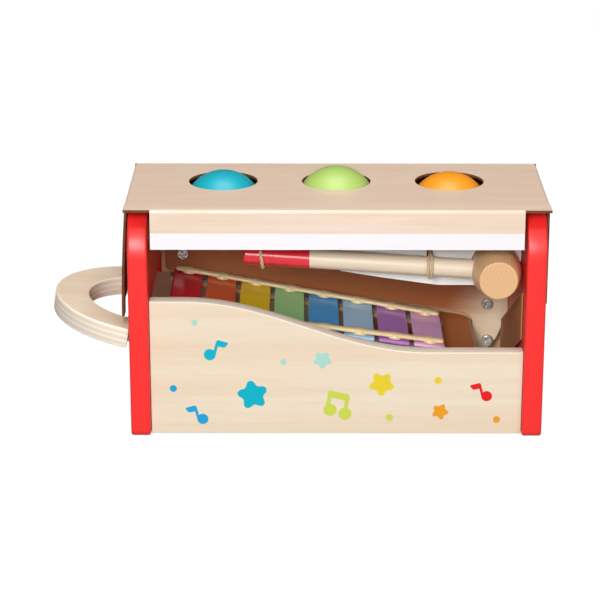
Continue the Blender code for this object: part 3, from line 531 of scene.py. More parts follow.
def printed_card(tree, base, streak, band, band_height):
    """Sleeve liner: card printed with a wood pattern under satin varnish, with a pale band along the flap."""
    long = pattern(tree, (140, 5, 5), detail=4.0, roughness=0.62, low=0.4, high=0.72, distortion=0.8)
    fine = pattern(tree, (40, 1.3, 1.3), detail=2.0, low=0.35)
    cloud = pattern(tree, (120, 26, 26), detail=2.0, roughness=0.5)
    height = add_node(tree, "Attribute", attribute_name="flap_height", output="Fac")
    in_band = add_node(tree, "Math", height, band_height, operation="LESS_THAN")
    paper = layered(tree, band, (fine, 0.05, darker(band, 0.9)))
    face = layered(tree, base, (cloud, 0.30, streak), (long, 0.38, streak),
                   (fine, 0.16, darker(streak, 0.85)), (in_band, 1.0, paper))
    shaded(tree, face, cloud, depth=0.06, strength=0.5, Roughness=0.42, Coat_Weight=0.15, Coat_Roughness=0.2)


def kraft(tree, base, specks, roughness=0.85):
    """Unbleached or grey board: matt, with the flecks and wide cloud of recycled fibre."""
    flecks = pattern(tree, (2.4, 0.9, 0.9), roughness=0.7, low=0.5, high=0.75)
    cloud = pattern(tree, 9)
    face = layered(tree, base, (cloud, 0.3, darker(base, 0.8)), (flecks, specks, darker(base, 0.55)))
    shaded(tree, face, cloud, depth=0.05, strength=0.6, Roughness=roughness)


def cut_flutes(tree, base, hollow_shade):
    """Cut edge of corrugated card: pale paper and dark hollows, drawn as cells near the flutes' 3 mm."""
    cells = add_node(tree, "TexVoronoi", stretched(tree, 2.6), Scale=1.0, Randomness=0.55)
    hole = add_node(tree, "MapRange", cells, 0.30, 0.48, 1.0, 0.0)
    cloud = pattern(tree, 1.2, roughness=0.7)
    face = layered(tree, base, (cloud, 0.4, darker(base, 0.7)), (hole, 0.8, hollow_shade))
    sunk = add_node(tree, "Math", hole, -1.0, operation="MULTIPLY")
    shaded(tree, face, sunk, depth=0.4, Roughness=0.9)


def zinc(tree, base):
    """Zinc-plated steel, tumbled: soft metal glints with a fine uneven grain."""
    grain = pattern(tree, 0.7)
    rough = add_node(tree, "MapRange", grain, To_Min=0.28, To_Max=0.5)
    face = layered(tree, base, (grain, 0.5, darker(base, 0.7)))
    shaded(tree, face, grain, depth=0.02, strength=0.6, Roughness=rough, Metallic=1.0)


def spun_cotton(tree, base):
    """Two-ply cotton twine: matt, darker in the lay between the plies."""
    lay = add_node(tree, "Attribute", attribute_name="lay", output="Fac")
    fuzz = pattern(tree, 0.5, roughness=0.7)
    face = layered(tree, base, (lay, 0.75, darker(base, 0.55)), (fuzz, 0.3, darker(base, 0.75)))
    shaded(tree, face, fuzz, depth=0.08, Roughness=0.9, Sheen_Weight=0.3, Sheen_Roughness=0.5)


def pressed_felt(tree, base):
    """Wool felt or rubber: matt and faintly mottled."""
    wool = pattern(tree, 0.8, detail=4.0, roughness=0.7)
    shaded(tree, layered(tree, base, (wool, 1.0, darker(base, 0.7))), wool, depth=0.1, Roughness=0.95)


def white_floor(tree):
    """Matt white floor: to the camera it mostly glows, so that it reads as white with a faint shadow."""
    seen, mirrored = (add_node(tree, "LightPath", output=ray) for ray in ("Is Camera Ray", "Is Glossy Ray"))
    # Light bounces off it as off dark grey, and a gloss mirrors about half of its glow
    paint = add_node(tree, "Mix", seen, (0.2, 0.2, 0.2), (0.9, 0.9, 0.9), data_type="RGBA")
    diffuse = add_node(tree, "BsdfDiffuse", paint)
    glow = add_node(tree, "Emission", (1.0, 1.0, 1.0), 1.08)
    seen = add_node(tree, "Math", seen, 0.9, operation="MULTIPLY")
    mirrored = add_node(tree, "Math", mirrored, 0.5, operation="MULTIPLY")
    share = add_node(tree, "Math", seen, mirrored, operation="MAXIMUM")
    add_node(tree, "OutputMaterial", add_node(tree, "MixShader", share, diffuse, glow))


# Pieces


def colours():
    """The scene's colours as plain tuples, by name."""
    held = bpy.context.scene.bench_colours
    return {key: tuple(getattr(held, key)) for key in BenchColours.__annotations__}


def sizes():
    """The scene's sizes in millimetres, by name."""
    held = bpy.context.scene.bench_sizes
    return {key: getattr(held, key) / (1 if key == "plies" else MM) for key in BenchSizes.__annotations__}


def plywood_finish(name="birch_plywood_matt_lacquer", heart=None, face=None, coat=0.12):
    """Birch plywood under clear matt lacquer: pale broad figure on its faces, stacked plies on its edges."""
    hues = colours()
    ply = (hues["ply_light"], hues["ply_dark"], sizes()["plies"])
    return finish(name, wood, face or hues["plywood"], hues["plywood_warm"], ply=ply, heart=heart,
                  Roughness=0.5, Coat_Weight=coat, Coat_Roughness=0.35)


def softwood_finish():
    """Sanded pine, unfinished: plain streaked boards that show only inside and below."""
    pine = colours()["softwood"]
    return finish("sanded_pine", wood, pine, darker(pine, 0.8), Roughness=0.7)


def steel_finish():
    """Zinc-plated steel: small bright screws."""
    return finish("zinc_plated_steel", zinc, colours()["steel"])


def line_at(along, ends):
    """Depth of a strip line at a place along the tray: straight from the first key to the last."""
    return ends[0] + (ends[1] - ends[0]) * (along - KEY_PLACES[0]) / (KEY_PLACES[-1] - KEY_PLACES[0])


def strip_run(ends):
    """A strip line's first and last places, its length and its direction."""
    first, last = np.array([KEY_PLACES[0], ends[0]]), np.array([KEY_PLACES[-1], ends[1]])
    run = np.linalg.norm(last - first)
    return first, last, run, (last - first) / run


def make_side_panels():
    """Red side panels: slabs with rounded tops, the left one with the tray's slanting slot."""
    coat = finish("red_lacquered_wood", lacquer, colours()["red"], ripple=9.0, relief=0.02,
                  Roughness=0.4, Coat_Weight=0.15, Coat_Roughness=0.25)
    foot, shoulder, slot_corner, gap, key_room = 4, 30, 0.8, 0.5, 12.0
    outline = rounded(((0, 0, foot), (PANEL_DEPTH, 0, foot), (PANEL_DEPTH, PANEL_HEIGHT, shoulder),
                       (0, PANEL_HEIGHT, shoulder)), math.radians(4))
    # The slot passes the tray and, above it, the keys
    low, high = (TRAY_HEIGHT + rise / math.cos(SLOPE) for rise in (-TRAY_THICK - gap, key_room))
    front, rear = TRAY_FRONT - gap, TRAY_REAR + gap
    corners = ((front, low), (rear, low), (rear, high), (front, high))
    slot = rounded([(*corner, slot_corner) for corner in corners])
    for side, left, holes in (("left", -SIDE_HALF, [slot]), ("right", SIDE_HALF - PANEL_THICK, [])):
        shape = board(outline, holes, left, left + PANEL_THICK, sizes()["panel_edge"], steps=5,
                      lean=-math.tan(SLOPE))[:2]
        add_piece(side + "_side_panel", "lacquered", shape, SIDEWAYS, "bench", "red_lacquer", coat)


def wave_outline(start=-92, run=147, high=85.6, low=53.5, foot=1.0):
    """Front panel: level, then half a cosine wave down from its high to its low, then level."""
    share = np.linspace(0, 1, 61)
    height = (high + low) / 2 + (high - low) / 2 * np.cos(math.pi * share)
    wave = np.column_stack([start + run * share, height])
    right, left = [(BOARD_HALF, foot), (BOARD_HALF, low)], [(-BOARD_HALF, high), (-BOARD_HALF, foot)]
    return np.concatenate([right, wave[::-1], left])


def make_front_panel():
    """Plywood front with its wave-cut top edge."""
    shape = board(wave_outline(), [], -FRONT_FACES[1], -FRONT_FACES[0], sizes()["board_edge"])
    add_piece("front_panel", "board", shape, FACING, "bench", "birch_plywood", plywood_finish())


def star(x, z, radius, turn):
    """Plump five-pointed star: ten rounded corners, in turn far from its middle and near it."""
    angle = math.radians(turn) + math.pi / 5 * np.arange(10)
    reach, bend = (np.tile(pair, 5) * radius for pair in ((1.36, 0.68), (0.27, 0.18)))
    corners = np.column_stack([x + reach * np.cos(angle), z + reach * np.sin(angle), bend])
    return rounded(corners, math.radians(20))


def note(x, z, radius, side):
    """Music note: a round head, a slanting stem and a leaf-shaped flag to one side."""
    stem = rounded(((0.55, 0.25, 0), (0.99, 0.0, 0.1), (1.62, 2.2, 0.1), (1.08, 2.3, 0.1)))
    flag = rounded(((1.05, 2.68, 0.25), (3.25, 2.08, 0.22), (2.5, 1.18, 0.55), (1.3, 1.5, 0.2)),
                   math.radians(12))
    turn = np.array([side * radius, radius])
    return [np.array([x, z]) + shape * turn for shape in (circle(0, 0, 1.0), stem, flag)]


def double_note():
    """Two note heads on slanting stems under one beam."""
    stems = [rounded(((-6.6, 18.0, 0), (-4.2, 18.0, 0), (-2.4, 26.6, 0), (-4.9, 27.0, 0))),
             rounded(((4.3, 15.5, 0), (6.6, 15.5, 0), (8.2, 25.4, 0), (5.7, 25.6, 0)))]
    beam = rounded(((-5.0, 29.3, 1.2), (-5.4, 25.0, 0.3), (6.0, 22.3, 0.3), (8.3, 23.0, 0.3),
                    (7.6, 26.6, 1.6)))
    return [circle(-3.8, 16.5, 4.0), circle(5.3, 13.9, 4.0), *stems, beam]


def make_motifs():
    """Dots, stars and music notes screen-printed on the front panel, in flat matt inks."""
    motifs = {
        "cyan": ("00ACC2", [*note(-76.6, 52.1, 3.6, 1), star(-50.8, 26.1, 9.1, 100)]),
        "blue": ("1E9CD2", [*note(-81.3, 10.4, 3.4, -1), circle(-99.0, 30.2, 2.2)]),
        "mint": ("A3D2CA", [circle(-85.5, 72.5, 1.9), circle(-32.1, 47.4, 1.9), star(-8.5, 48.8, 5.5, -90)]),
        "yellow": ("E0C830", [star(27.5, 33.4, 7.5, -92), circle(61.6, 35.6, 2.2)]),
        "lime": ("C3CF50", [*double_note(), circle(32.4, 11.6, 2.2)]),
        "orange": ("E4981F", [star(63.2, 15.4, 5.0, -80), circle(97.7, 10.2, 2.2)]),
        "red": ("DE1A1C", note(91.3, 25.5, 3.3, -1)),
    }
    # Each shape of a colour stands a little over the one before, so that no two of their faces coincide
    face, sunk, stagger = -FRONT_FACES[0], 0.02, 0.004
    top = face + sizes()["print_height"]
    for word, (value, outlines) in motifs.items():
        ink = finish("screen_print_ink_" + word, lacquer, linear(value), ripple=3.0, relief=0.004,
                     tint=0.06, Roughness=0.6, Specular_IOR_Level=0.2)
        shapes = [board(outline, [], face - sunk, top + level * stagger, sunk, steps=1)[:2]
                  for level, outline in enumerate(outlines)]
        add_piece("printed_motifs_" + word, "", joined(*shapes), FACING, "bench", "birch_plywood", ink)


def make_guide_wall():
    """Plywood wall behind the keys, its lower edge along the tray, with a foot past the tray's end."""
    left, foot, bottom, top, gap = -110.4, 90, 15.5, 115.7, 4.2
    over_tray = [TRAY_HEIGHT - math.tan(SLOPE) * (x + SIDE_HALF) + gap for x in (left, foot)]
    corners = (
        (left, top, 0.5), (left, over_tray[0], 4), (foot, over_tray[1], 8), (foot, bottom, 0.5),
        (99, bottom, 4.5), (105.5, 23.5, 9), (BOARD_HALF, 41, 9), (BOARD_HALF, top, 0.5),
    )
    shape = board(rounded(corners), [], -WALL_FACES[1], -WALL_FACES[0], sizes()["board_edge"])
    hues = colours()
    # Painted light and shade: pale where the wall's foot is lit, brown to the left where the wall lies in
    # shade
    plywood_with_painted_shade = plywood_finish("birch_plywood_amber_heart", (hues["heart"], 90.5, 45), hues["sap"], coat=0.0)
    add_piece("guide_wall", "board", shape, FACING, "bench", "birch_plywood", plywood_with_painted_shade)


def screw_shape(radius, height, shaft, shaft_length, arm):
    """Cross-head screw: a low dome over (r, t), less a cross-shaped recess of smooth steps, and a shaft.

    arm is half the width and half the length of the recess.
    """
    columns = 56
    rim = height * 0.45
    bend = np.linspace(0.2, math.pi / 2, 5)
    reach = np.concatenate([np.linspace(0, radius - rim, 22), radius - rim * (1 - np.sin(bend))])
    turn = np.linspace(0, 2 * math.pi, columns, endpoint=False)
    r, t = np.meshgrid(reach, turn, indexing="ij")
    x, y = r * np.cos(t), r * np.sin(t)
    outside = np.clip((r - (radius - rim)) / rim, 0, 1)
    top = height - 0.12 * height * (r / radius) ** 2 - 0.62 * height * (1 - np.sqrt(1 - 0.98 * outside**2))
    bars = [smoothstep((arm[0] - np.abs(a)) / 0.35 + 0.5) * smoothstep((arm[1] - np.abs(b)) / 0.6 + 0.5)
            for a, b in ((x, y), (y, x))]
    head = np.stack([x, y, top - 0.75 * height * np.maximum(*bars)], axis=2)
    under = ((radius, 0.0), (shaft, 0.0), (shaft, -shaft_length), (0.0, -shaft_length))
    points = np.concatenate([head.reshape(-1, 3), lathe(under, columns)[0]])
    return points, grid_faces(len(points) // columns, columns, around=True).tolist()


def make_wall_screws():
    """Cross-head screws of the guide wall, each turned its own way, their heads just off its face."""
    shape = screw_shape(radius=3.9, height=1.6, shaft=1.6, shaft_length=4.0, arm=(0.62, 2.3))
    head_level = WALL_FACES[0] - 0.3
    for (word, (x, z)), turn in zip(WALL_SCREWS.items(), (0.1, 0.75, 0.3)):
        cos, sin = math.cos(turn), math.sin(turn)
        spin = np.array([[cos, sin, 0], [-sin, cos, 0], [0, 0, 1.0]])
        place = (spin @ FACING[0], np.array([x, head_level, z]))
        add_piece("wall_screw_" + word, "turned", shape, place, "bench", "zinc_steel", steel_finish())


def make_hidden_boards():
    """Top board with its three ball holes, back board, tray runners and dowels, in plain wood."""
    pine = softwood_finish()
    hole_radius, front, rear, corner = 29.7, 30.0, 127.3, 0.5
    places = ((-BOARD_HALF, front), (BOARD_HALF, front), (BOARD_HALF, rear), (-BOARD_HALF, rear))
    holes = [circle(x, BALL_LINE, hole_radius, 5) for x, _ in BALLS.values()]
    shape = board(rounded([(*place, corner) for place in places]), holes, *TOP_FACES, sizes()["board_edge"])
    add_piece("top_board", "drilled", shape[:2], FLAT, "bench", "plain_wood", pine)
    dress(pine, "back_board", "tray_runner_front", "tray_runner_rear")
    dress(pine, "dowel_front_left", "dowel_front_right", "dowel_board_left", "dowel_board_right")


def make_ball_rings():
    """Rubber rings in the ball holes: a flange on the board, a sleeve through it and a rounded lip."""
    rubber = finish("black_rubber_moulded", pressed_felt, linear("2C2C2E"))
    profile = [(25.4, 126.6), (25.9, 127.1), (32.6, 127.1), (33.4, 126.5), (33.4, 125.6), (33.1, 125.3),
               (29.4, 125.3), (29.4, 114.4), (29.0, 114.0), (25.9, 114.0), (25.4, 114.5), (25.4, 126.6)]
    for word, (x, _) in BALLS.items():
        shape = shifted(lathe(profile, segments=72), (x, BALL_LINE, 0))
        add_piece("ball_ring_" + word, "moulded", shape, FLAT, "bench", "black_rubber", rubber)


def make_balls():
    """Turned wooden balls under satin paint: a sphere, its poles a little flat where it was held."""
    tilt = np.linspace(0, math.pi, 65)
    flat = 0.12 * smoothstep((np.abs(np.cos(tilt)) - 0.985) / 0.015)
    profile = np.column_stack([BALL_RADIUS * np.sin(tilt), -(BALL_RADIUS - flat) * np.cos(tilt)])
    points, faces = lathe(profile, segments=112)
    # The poles are turned to the front and the back
    points = points[:, [0, 2, 1]] * np.array([1, 1, -1])
    for (word, (x, z)), hue in zip(BALLS.items(), ("cyan", "lime", "orange")):
        paint = finish(word + "_ball_satin_paint", lacquer, colours()["ball_" + word], ripple=5.0,
                       relief=0.02, Roughness=0.4, Coat_Weight=0.2, Coat_Roughness=0.35)
        shape = shifted((points, faces), (x, BALL_LINE, z))
        add_piece("ball_" + word, "painted", shape, FLAT, "ball_" + word, hue + "_paint", paint)


def make_tray():
    """Plywood tray and its ring handle in one board, with sockets for the screws in its underside."""
    shoulder, chord, middle, ring_radius, hole_radius, end, corner = -0.3, -2, 13, 63.26, 42.5, 215.8, 10
    socket_radius, socket_depth = 2.7, 2.3

    def bow(radius, line, step):
        """Arc of the handle round its middle, from a line across it out to the left and back."""
        half = math.acos((line - middle) / radius)
        return arc((middle, BALL_LINE), radius, half, 2 * math.pi - half, math.radians(step))

    body = rounded(((shoulder, TRAY_FRONT, 0), (end, TRAY_FRONT, corner), (end, TRAY_REAR, corner),
                    (shoulder, TRAY_REAR, 0)))
    inner = bow(hole_radius, chord, 4)
    front, rear = inner[-1, 1], inner[0, 1]
    # The hole's two sharp corners are cut off
    straight = [(chord - 1, front + 1), (chord, front + 5), (chord, rear - 5), (chord - 1, rear - 1)]
    hole = np.concatenate([inner[1:-1], straight])
    sockets = [(along, line_at(along, ends), socket_radius, socket_depth)
               for along in KEY_PLACES for ends in STRIP_LINES.values()]
    outline = np.concatenate([bow(ring_radius, shoulder, 3), body])
    shape = board(outline, [hole], -TRAY_THICK, 0, sizes()["handle_edge"], sockets)
    hues = colours()
    # Painted shade: the tray turns amber-brown towards its right end, where it lies in shade
    plywood_with_painted_shade = plywood_finish("birch_plywood_amber_end", (hues["tray_heart"], 0, -50), hues["plywood"])
    add_piece("tray", "board", shape, ON_TRAY, "xylophone", "birch_plywood", plywood_with_painted_shade)


def bar_outline(ends, width, overhang):
    """Straight bar with round ends along a strip line, past the first and the last key."""
    first, last, _, along = strip_run(ends)
    first, last = first - along * (overhang - width / 2), last + along * (overhang - width / 2)
    lean = math.atan2(along[1], along[0])
    quarter, step = math.pi / 2, math.radians(12)
    return np.concatenate([arc(last, width / 2, lean - quarter, lean + quarter, step),
                           arc(first, width / 2, lean + quarter, lean + 3 * quarter, step)])


def make_rails():
    """Bearers under the keys, and the felt strips on them."""
    wool = finish("grey_wool_felt", pressed_felt, linear("8C8880"))
    past = 12
    for word, ends in STRIP_LINES.items():
        rail = board(bar_outline(ends, 9, past), [], low=0.3, high=3.0, edge=0.6)[:2]
        add_piece("key_rail_" + word, "planed", rail, ON_TRAY, "xylophone", "plain_wood", softwood_finish())
        felt = board(bar_outline(ends, 7, past), [], low=3.3, high=4.5, edge=0.3)[:2]
        add_piece("felt_strip_" + word, "cut", felt, ON_TRAY, "xylophone", "grey_felt", wool)


def make_keys():
    """Enamelled metal keys: flat bars with rounded edges, each a little shorter than the one before."""
    half, past, corner, low, high = 9.5, 5, 0.8, 4.8, 6.8
    for word, along in zip(PAINTS, KEY_PLACES):
        front, rear = line_at(along, STRIP_LINES["front"]) - past, line_at(along, STRIP_LINES["rear"]) + past
        corners = ((-half, front), (half, front), (half, rear), (-half, rear))
        outline = rounded([(along + x, y, corner) for x, y in corners])
        shape = board(outline, [], low, high, sizes()["key_edge"])[:2]
        coat = finish(word + "_key_enamel", lacquer, colours()["key_" + word], ripple=14.0, relief=0.05,
                      tint=0.1, Roughness=0.2, Specular_IOR_Level=0.35)
        add_piece("key_" + word, "enamelled", shape, ON_TRAY, "xylophone", word + "_enamel", coat)


def strip_bar(ends):
    """Half-round bar: over (s, t) a flat-bottomed superellipse, wider at each pad and closed at its ends."""
    first, _, run, along = strip_run(ends)
    across = np.array([-along[1], along[0]])
    past, columns, middle, half_width, thickness, underside = 9, 28, 8.9, 2.75, 1.4, 1.35
    s = np.linspace(-past, run + past, 321)
    from_pad = np.abs(s[:, None] - np.linspace(0, run, len(PAINTS))).min(axis=1)
    swell = np.exp(-((from_pad / 3.6) ** 2))
    waver = 0.12 * np.sin(s * 0.9) * (1 - swell)
    end = np.clip((past - np.maximum(-s, s - run)) / 2.4, 0, 1)
    end = np.sqrt(np.clip(1 - (1 - end) ** 2, 0, 1))
    half = (half_width + 0.6 * swell + waver) * end
    top = (thickness + 0.4 * swell) * end
    t = np.linspace(0, 2 * math.pi, columns, endpoint=False)
    wide = np.sign(np.cos(t)) * np.abs(np.cos(t)) ** 0.8
    high = np.where(np.sin(t) > 0, np.abs(np.sin(t)) ** 0.85, -np.abs(np.sin(t)) ** 0.6)
    level = middle + np.where(high > 0, high * top[:, None], high * underside * end[:, None])
    ground = first + along * s[:, None]
    plan = ground[:, None, :] + across * (half[:, None] * wide)[:, :, None]
    points = np.concatenate([plan, level[:, :, None]], axis=2)
    return points.reshape(-1, 3), grid_faces(len(s), columns, around=True).tolist()


def make_key_strips():
    """Lacquered wooden strips over the keys, with a round pad at each key."""
    pale = colours()["strip"]
    coat = finish("lacquered_strip_wood", wood, pale, darker(pale, 0.8), grain=(26, 2.2, 2.2),
                  fibre=(8, 0.9, 0.9), Roughness=0.34, Coat_Weight=0.35, Coat_Roughness=0.2)
    profile = [(0.0, 7.1), (3.9, 7.1), (4.3, 7.35), (4.3, 8.2), (4.15, 8.8), (3.8, 9.4), (3.35, 9.9),
               (2.8, 10.3), (2.0, 10.55), (1.0, 10.68), (0.0, 10.7)]
    for word, ends in STRIP_LINES.items():
        places = [(along, line_at(along, ends), 0) for along in KEY_PLACES]
        shape = joined(strip_bar(ends), *(shifted(lathe(profile, segments=36), place) for place in places))
        add_piece("key_strip_" + word, "shaped", shape, ON_TRAY, "xylophone", "strip_wood", coat)


def make_key_screws():
    """Cross-head screws from under the tray, two to a key."""
    shape = screw_shape(radius=2.4, height=1.6, shaft=1.05, shaft_length=5.0, arm=(0.4, 1.4))
    axes, origin = ON_TRAY
    upside_down, head_level = np.array([ACROSS, -BACK, -UP]) @ axes, -10.0
    steel = steel_finish()
    for word, along in zip(PAINTS, KEY_PLACES):
        for end, ends in STRIP_LINES.items():
            place = (upside_down, np.array([along, line_at(along, ends), head_level]) @ axes + origin)
            add_piece(f"screw_{word}_{end}", "turned", shape, place, "xylophone", "zinc_steel", steel)


def stick_height(x):
    """Height of the mallet handle's axis."""
    return HEAD[2] + STICK_RISE * (HEAD[0] - x)


def make_mallet():
    """Barrel head and its dipped handle: both turned profiles."""
    hues = colours()
    end_radius, bulge, half_length = 11.7, 3.6, 19.8
    share = np.linspace(0, 1, 21)[:-1]
    barrel = np.column_stack([end_radius + bulge * (1 - share**2), half_length * share])
    edge = arc((10.9, 20.2), 0.8, 0.0, math.pi / 2, math.radians(15))
    half = np.concatenate([barrel, edge, [(9.6, 20.94), (5.0, 20.90), (0.0, 20.88)]])
    beech = finish("waxed_beech", end_grain_beech, hues["beech"], hues["beech_dark"])
    head = lathe(np.concatenate([half[:0:-1] * [1, -1], half]), segments=96)
    add_piece("mallet_head", "turned", head, (FACING[0], HEAD), "mallet", "waxed_wood", beech)
    start, stop = (np.array([x, HEAD[1], stick_height(x)]) for x in (-56.3, 91.2))
    run = np.linalg.norm(stop - start)
    down = (stop - start) / run
    # A round crown, then a thin film of paint as far as it was dipped, on a stick that is never quite even
    crown, dipped, film = 1.5, 40.4, 0.06
    lengths = crown * (1 - np.cos(np.linspace(0, math.pi / 2, 8))), np.linspace(2 * crown, run, 60)
    s = np.concatenate(lengths)
    rounding = np.sqrt(np.clip(1 - (1 - s / crown).clip(0, 1) ** 2, 0, 1))
    radius = 4.7 + 1.22 * rounding + film * smoothstep((dipped - s) / 0.3) - 0.04 * np.sin(s * 0.11)
    profile = np.concatenate([[(0.0, 0.0)], np.column_stack([radius, s]), [(0.0, run)]])
    line_x = bench_datum[0] / MM - 16.1
    stick = finish("dipped_birch_dowel", dipped_stick, hues["stick"], darker(hues["stick"], 0.86),
                   hues["grip"], line_x)
    place = (np.array([np.cross(BACK, down), BACK, down]), start)
    add_piece("mallet_handle", "turned", lathe(profile, segments=56), place, "mallet", "waxed_wood", stick)


def twine_tube(path, radius, lay_length):
    """Two-ply twine along a closed path: two strands wound round each other.

    At angle t and length s its radius is r(0.7 + 0.3|cos(t - pi s / lay)|).
    """
    step = np.roll(path, -1, axis=0) - np.roll(path, 1, axis=0)
    tangent = step / np.linalg.norm(step, axis=1, keepdims=True)
    side = ACROSS - tangent * tangent[:, :1]
    side = side / np.linalg.norm(side, axis=1, keepdims=True)
    other = np.cross(tangent, side)
    travelled = np.concatenate([[0.0], np.cumsum(np.linalg.norm(np.diff(path, axis=0), axis=1))])
    whole = travelled[-1] + np.linalg.norm(path[0] - path[-1])
    turns = max(1, round(whole / lay_length))
    t = np.linspace(0, 2 * math.pi, 16, endpoint=False)
    fat = np.abs(np.cos(t[None, :] - math.pi * turns * travelled[:, None] / whole))
    around = np.cos(t)[:, None] * side[:, None] + np.sin(t)[:, None] * other[:, None]
    points = path[:, None] + (radius * (0.7 + 0.3 * fat))[:, :, None] * around
    faces = grid_faces(len(path), len(t), around=True, closed=True).tolist()
    # The third array, one less the swell, is the painted shade in the groove between the strands
    return points.reshape(-1, 3), faces, (1 - fat).ravel()


def tie_path(x, behind, lean, spread):
    """Loop round the handle: a circle drawn out behind the card, leaning along the handle on its way."""
    angle = np.linspace(0, 2 * math.pi, 120, endpoint=False)
    radius = 7.35
    depth = HEAD[1] - radius * np.cos(angle) + behind * smoothstep(-np.cos(angle) * 1.5)
    height = stick_height(x) + radius * np.sin(angle)
    return np.column_stack([x + lean * np.sin(angle) + spread * np.cos(angle), depth, height])


def make_ties():
    """Cotton twine: one turn at the dipped end, and by the head two crossing ones that pass the card."""
    cotton = finish("two_ply_cotton_twine", spun_cotton, colours()["twine"])
    ties = {
        "left": [twine_tube(tie_path(-45.6, 0.0, -0.9, 0.3), radius=1.05, lay_length=3.4)],
        "right": [twine_tube(tie_path(56.9, 4.7, 0.2, 0.45), radius=0.82, lay_length=3.0),
                  twine_tube(tie_path(56.3, 4.7, -0.25, -1.25), radius=0.82, lay_length=3.0)],
    }
    for word, tubes in ties.items():
        points, faces = joined(*(tube[:2] for tube in tubes))
        # Painted shade in the groove between the plies, as a number per point
        shape = (points, faces, {"lay": np.concatenate([tube[2] for tube in tubes])})
        add_piece("tie_" + word, "twisted", shape, FLAT, "mallet", "cotton_twine", cotton)


def sheet_grid(rows, normals, columns, axes):
    """Grid of a bent sheet: (u, v) places of its profile and their (u, v) normals, run out over columns.

    axes names which bench directions hold the columns, u and v.
    """
    places = np.empty((len(rows), len(columns), 3))
    facing = np.zeros((len(rows), len(columns), 3))
    places[:, :, axes[0]] = columns
    for k in (0, 1):
        places[:, :, axes[k + 1]] = rows[:, k, None]
        facing[:, :, axes[k + 1]] = normals[:, k, None]
    quads = grid_faces(len(rows), len(columns))
    triangles = np.concatenate([quads[:, [0, 1, 2]], quads[:, [0, 2, 3]]])
    return places.reshape(-1, 3), facing.reshape(-1, 3), triangles


def thick_sheet(parts, thickness):
    """Card of even thickness: p and p - t n for every point of an open sheet, walled along its free edges.

    parts are (points, normals, triangles). Returns points, faces, the numbers of the kept points, and per
    face 0 for the outside, 1 for the inside and 2 for a wall.
    """
    counts = np.cumsum([0] + [len(part[0]) for part in parts[:-1]])
    points, normals = (np.concatenate([part[k] for part in parts]) for k in (0, 1))
    triangles = np.concatenate([part[2] + count for part, count in zip(parts, counts)])
    _, kept, index = np.unique(np.round(points, 2), axis=0, return_index=True, return_inverse=True)
    points, normals, triangles = points[kept], normals[kept], index.reshape(-1)[triangles]
    corner = points[triangles]
    facing = np.cross(corner[:, 1] - corner[:, 0], corner[:, 2] - corner[:, 0])
    inward = np.einsum("ij,ij->i", facing, normals[triangles].sum(axis=1)) < 0
    triangles[inward] = triangles[inward][:, ::-1]
    ends = np.concatenate([triangles[:, [0, 1]], triangles[:, [1, 2]], triangles[:, [2, 0]]])
    total = len(points)
    free = ends[~np.isin(ends[:, 0] * total + ends[:, 1], ends[:, 1] * total + ends[:, 0])]
    walls = np.column_stack([free[:, 1], free[:, 0], free[:, 0] + total, free[:, 1] + total])
    faces = [*triangles.tolist(), *(triangles[:, ::-1] + total).tolist(), *walls.tolist()]
    sides = np.repeat([0, 1, 2], [len(triangles), len(triangles), len(walls)])
    return np.concatenate([points, points - thickness * normals]), faces, kept, sides


def fold(centre, radius, start, end, step=15):
    """Points and outward normals of a fold: c + r (cos a, sin a) with the normal (cos a, sin a)."""
    angle = span(math.radians(start), math.radians(end), math.radians(step))
    facing = np.column_stack([np.cos(angle), np.sin(angle)])
    return np.asarray(centre) + radius * facing, facing


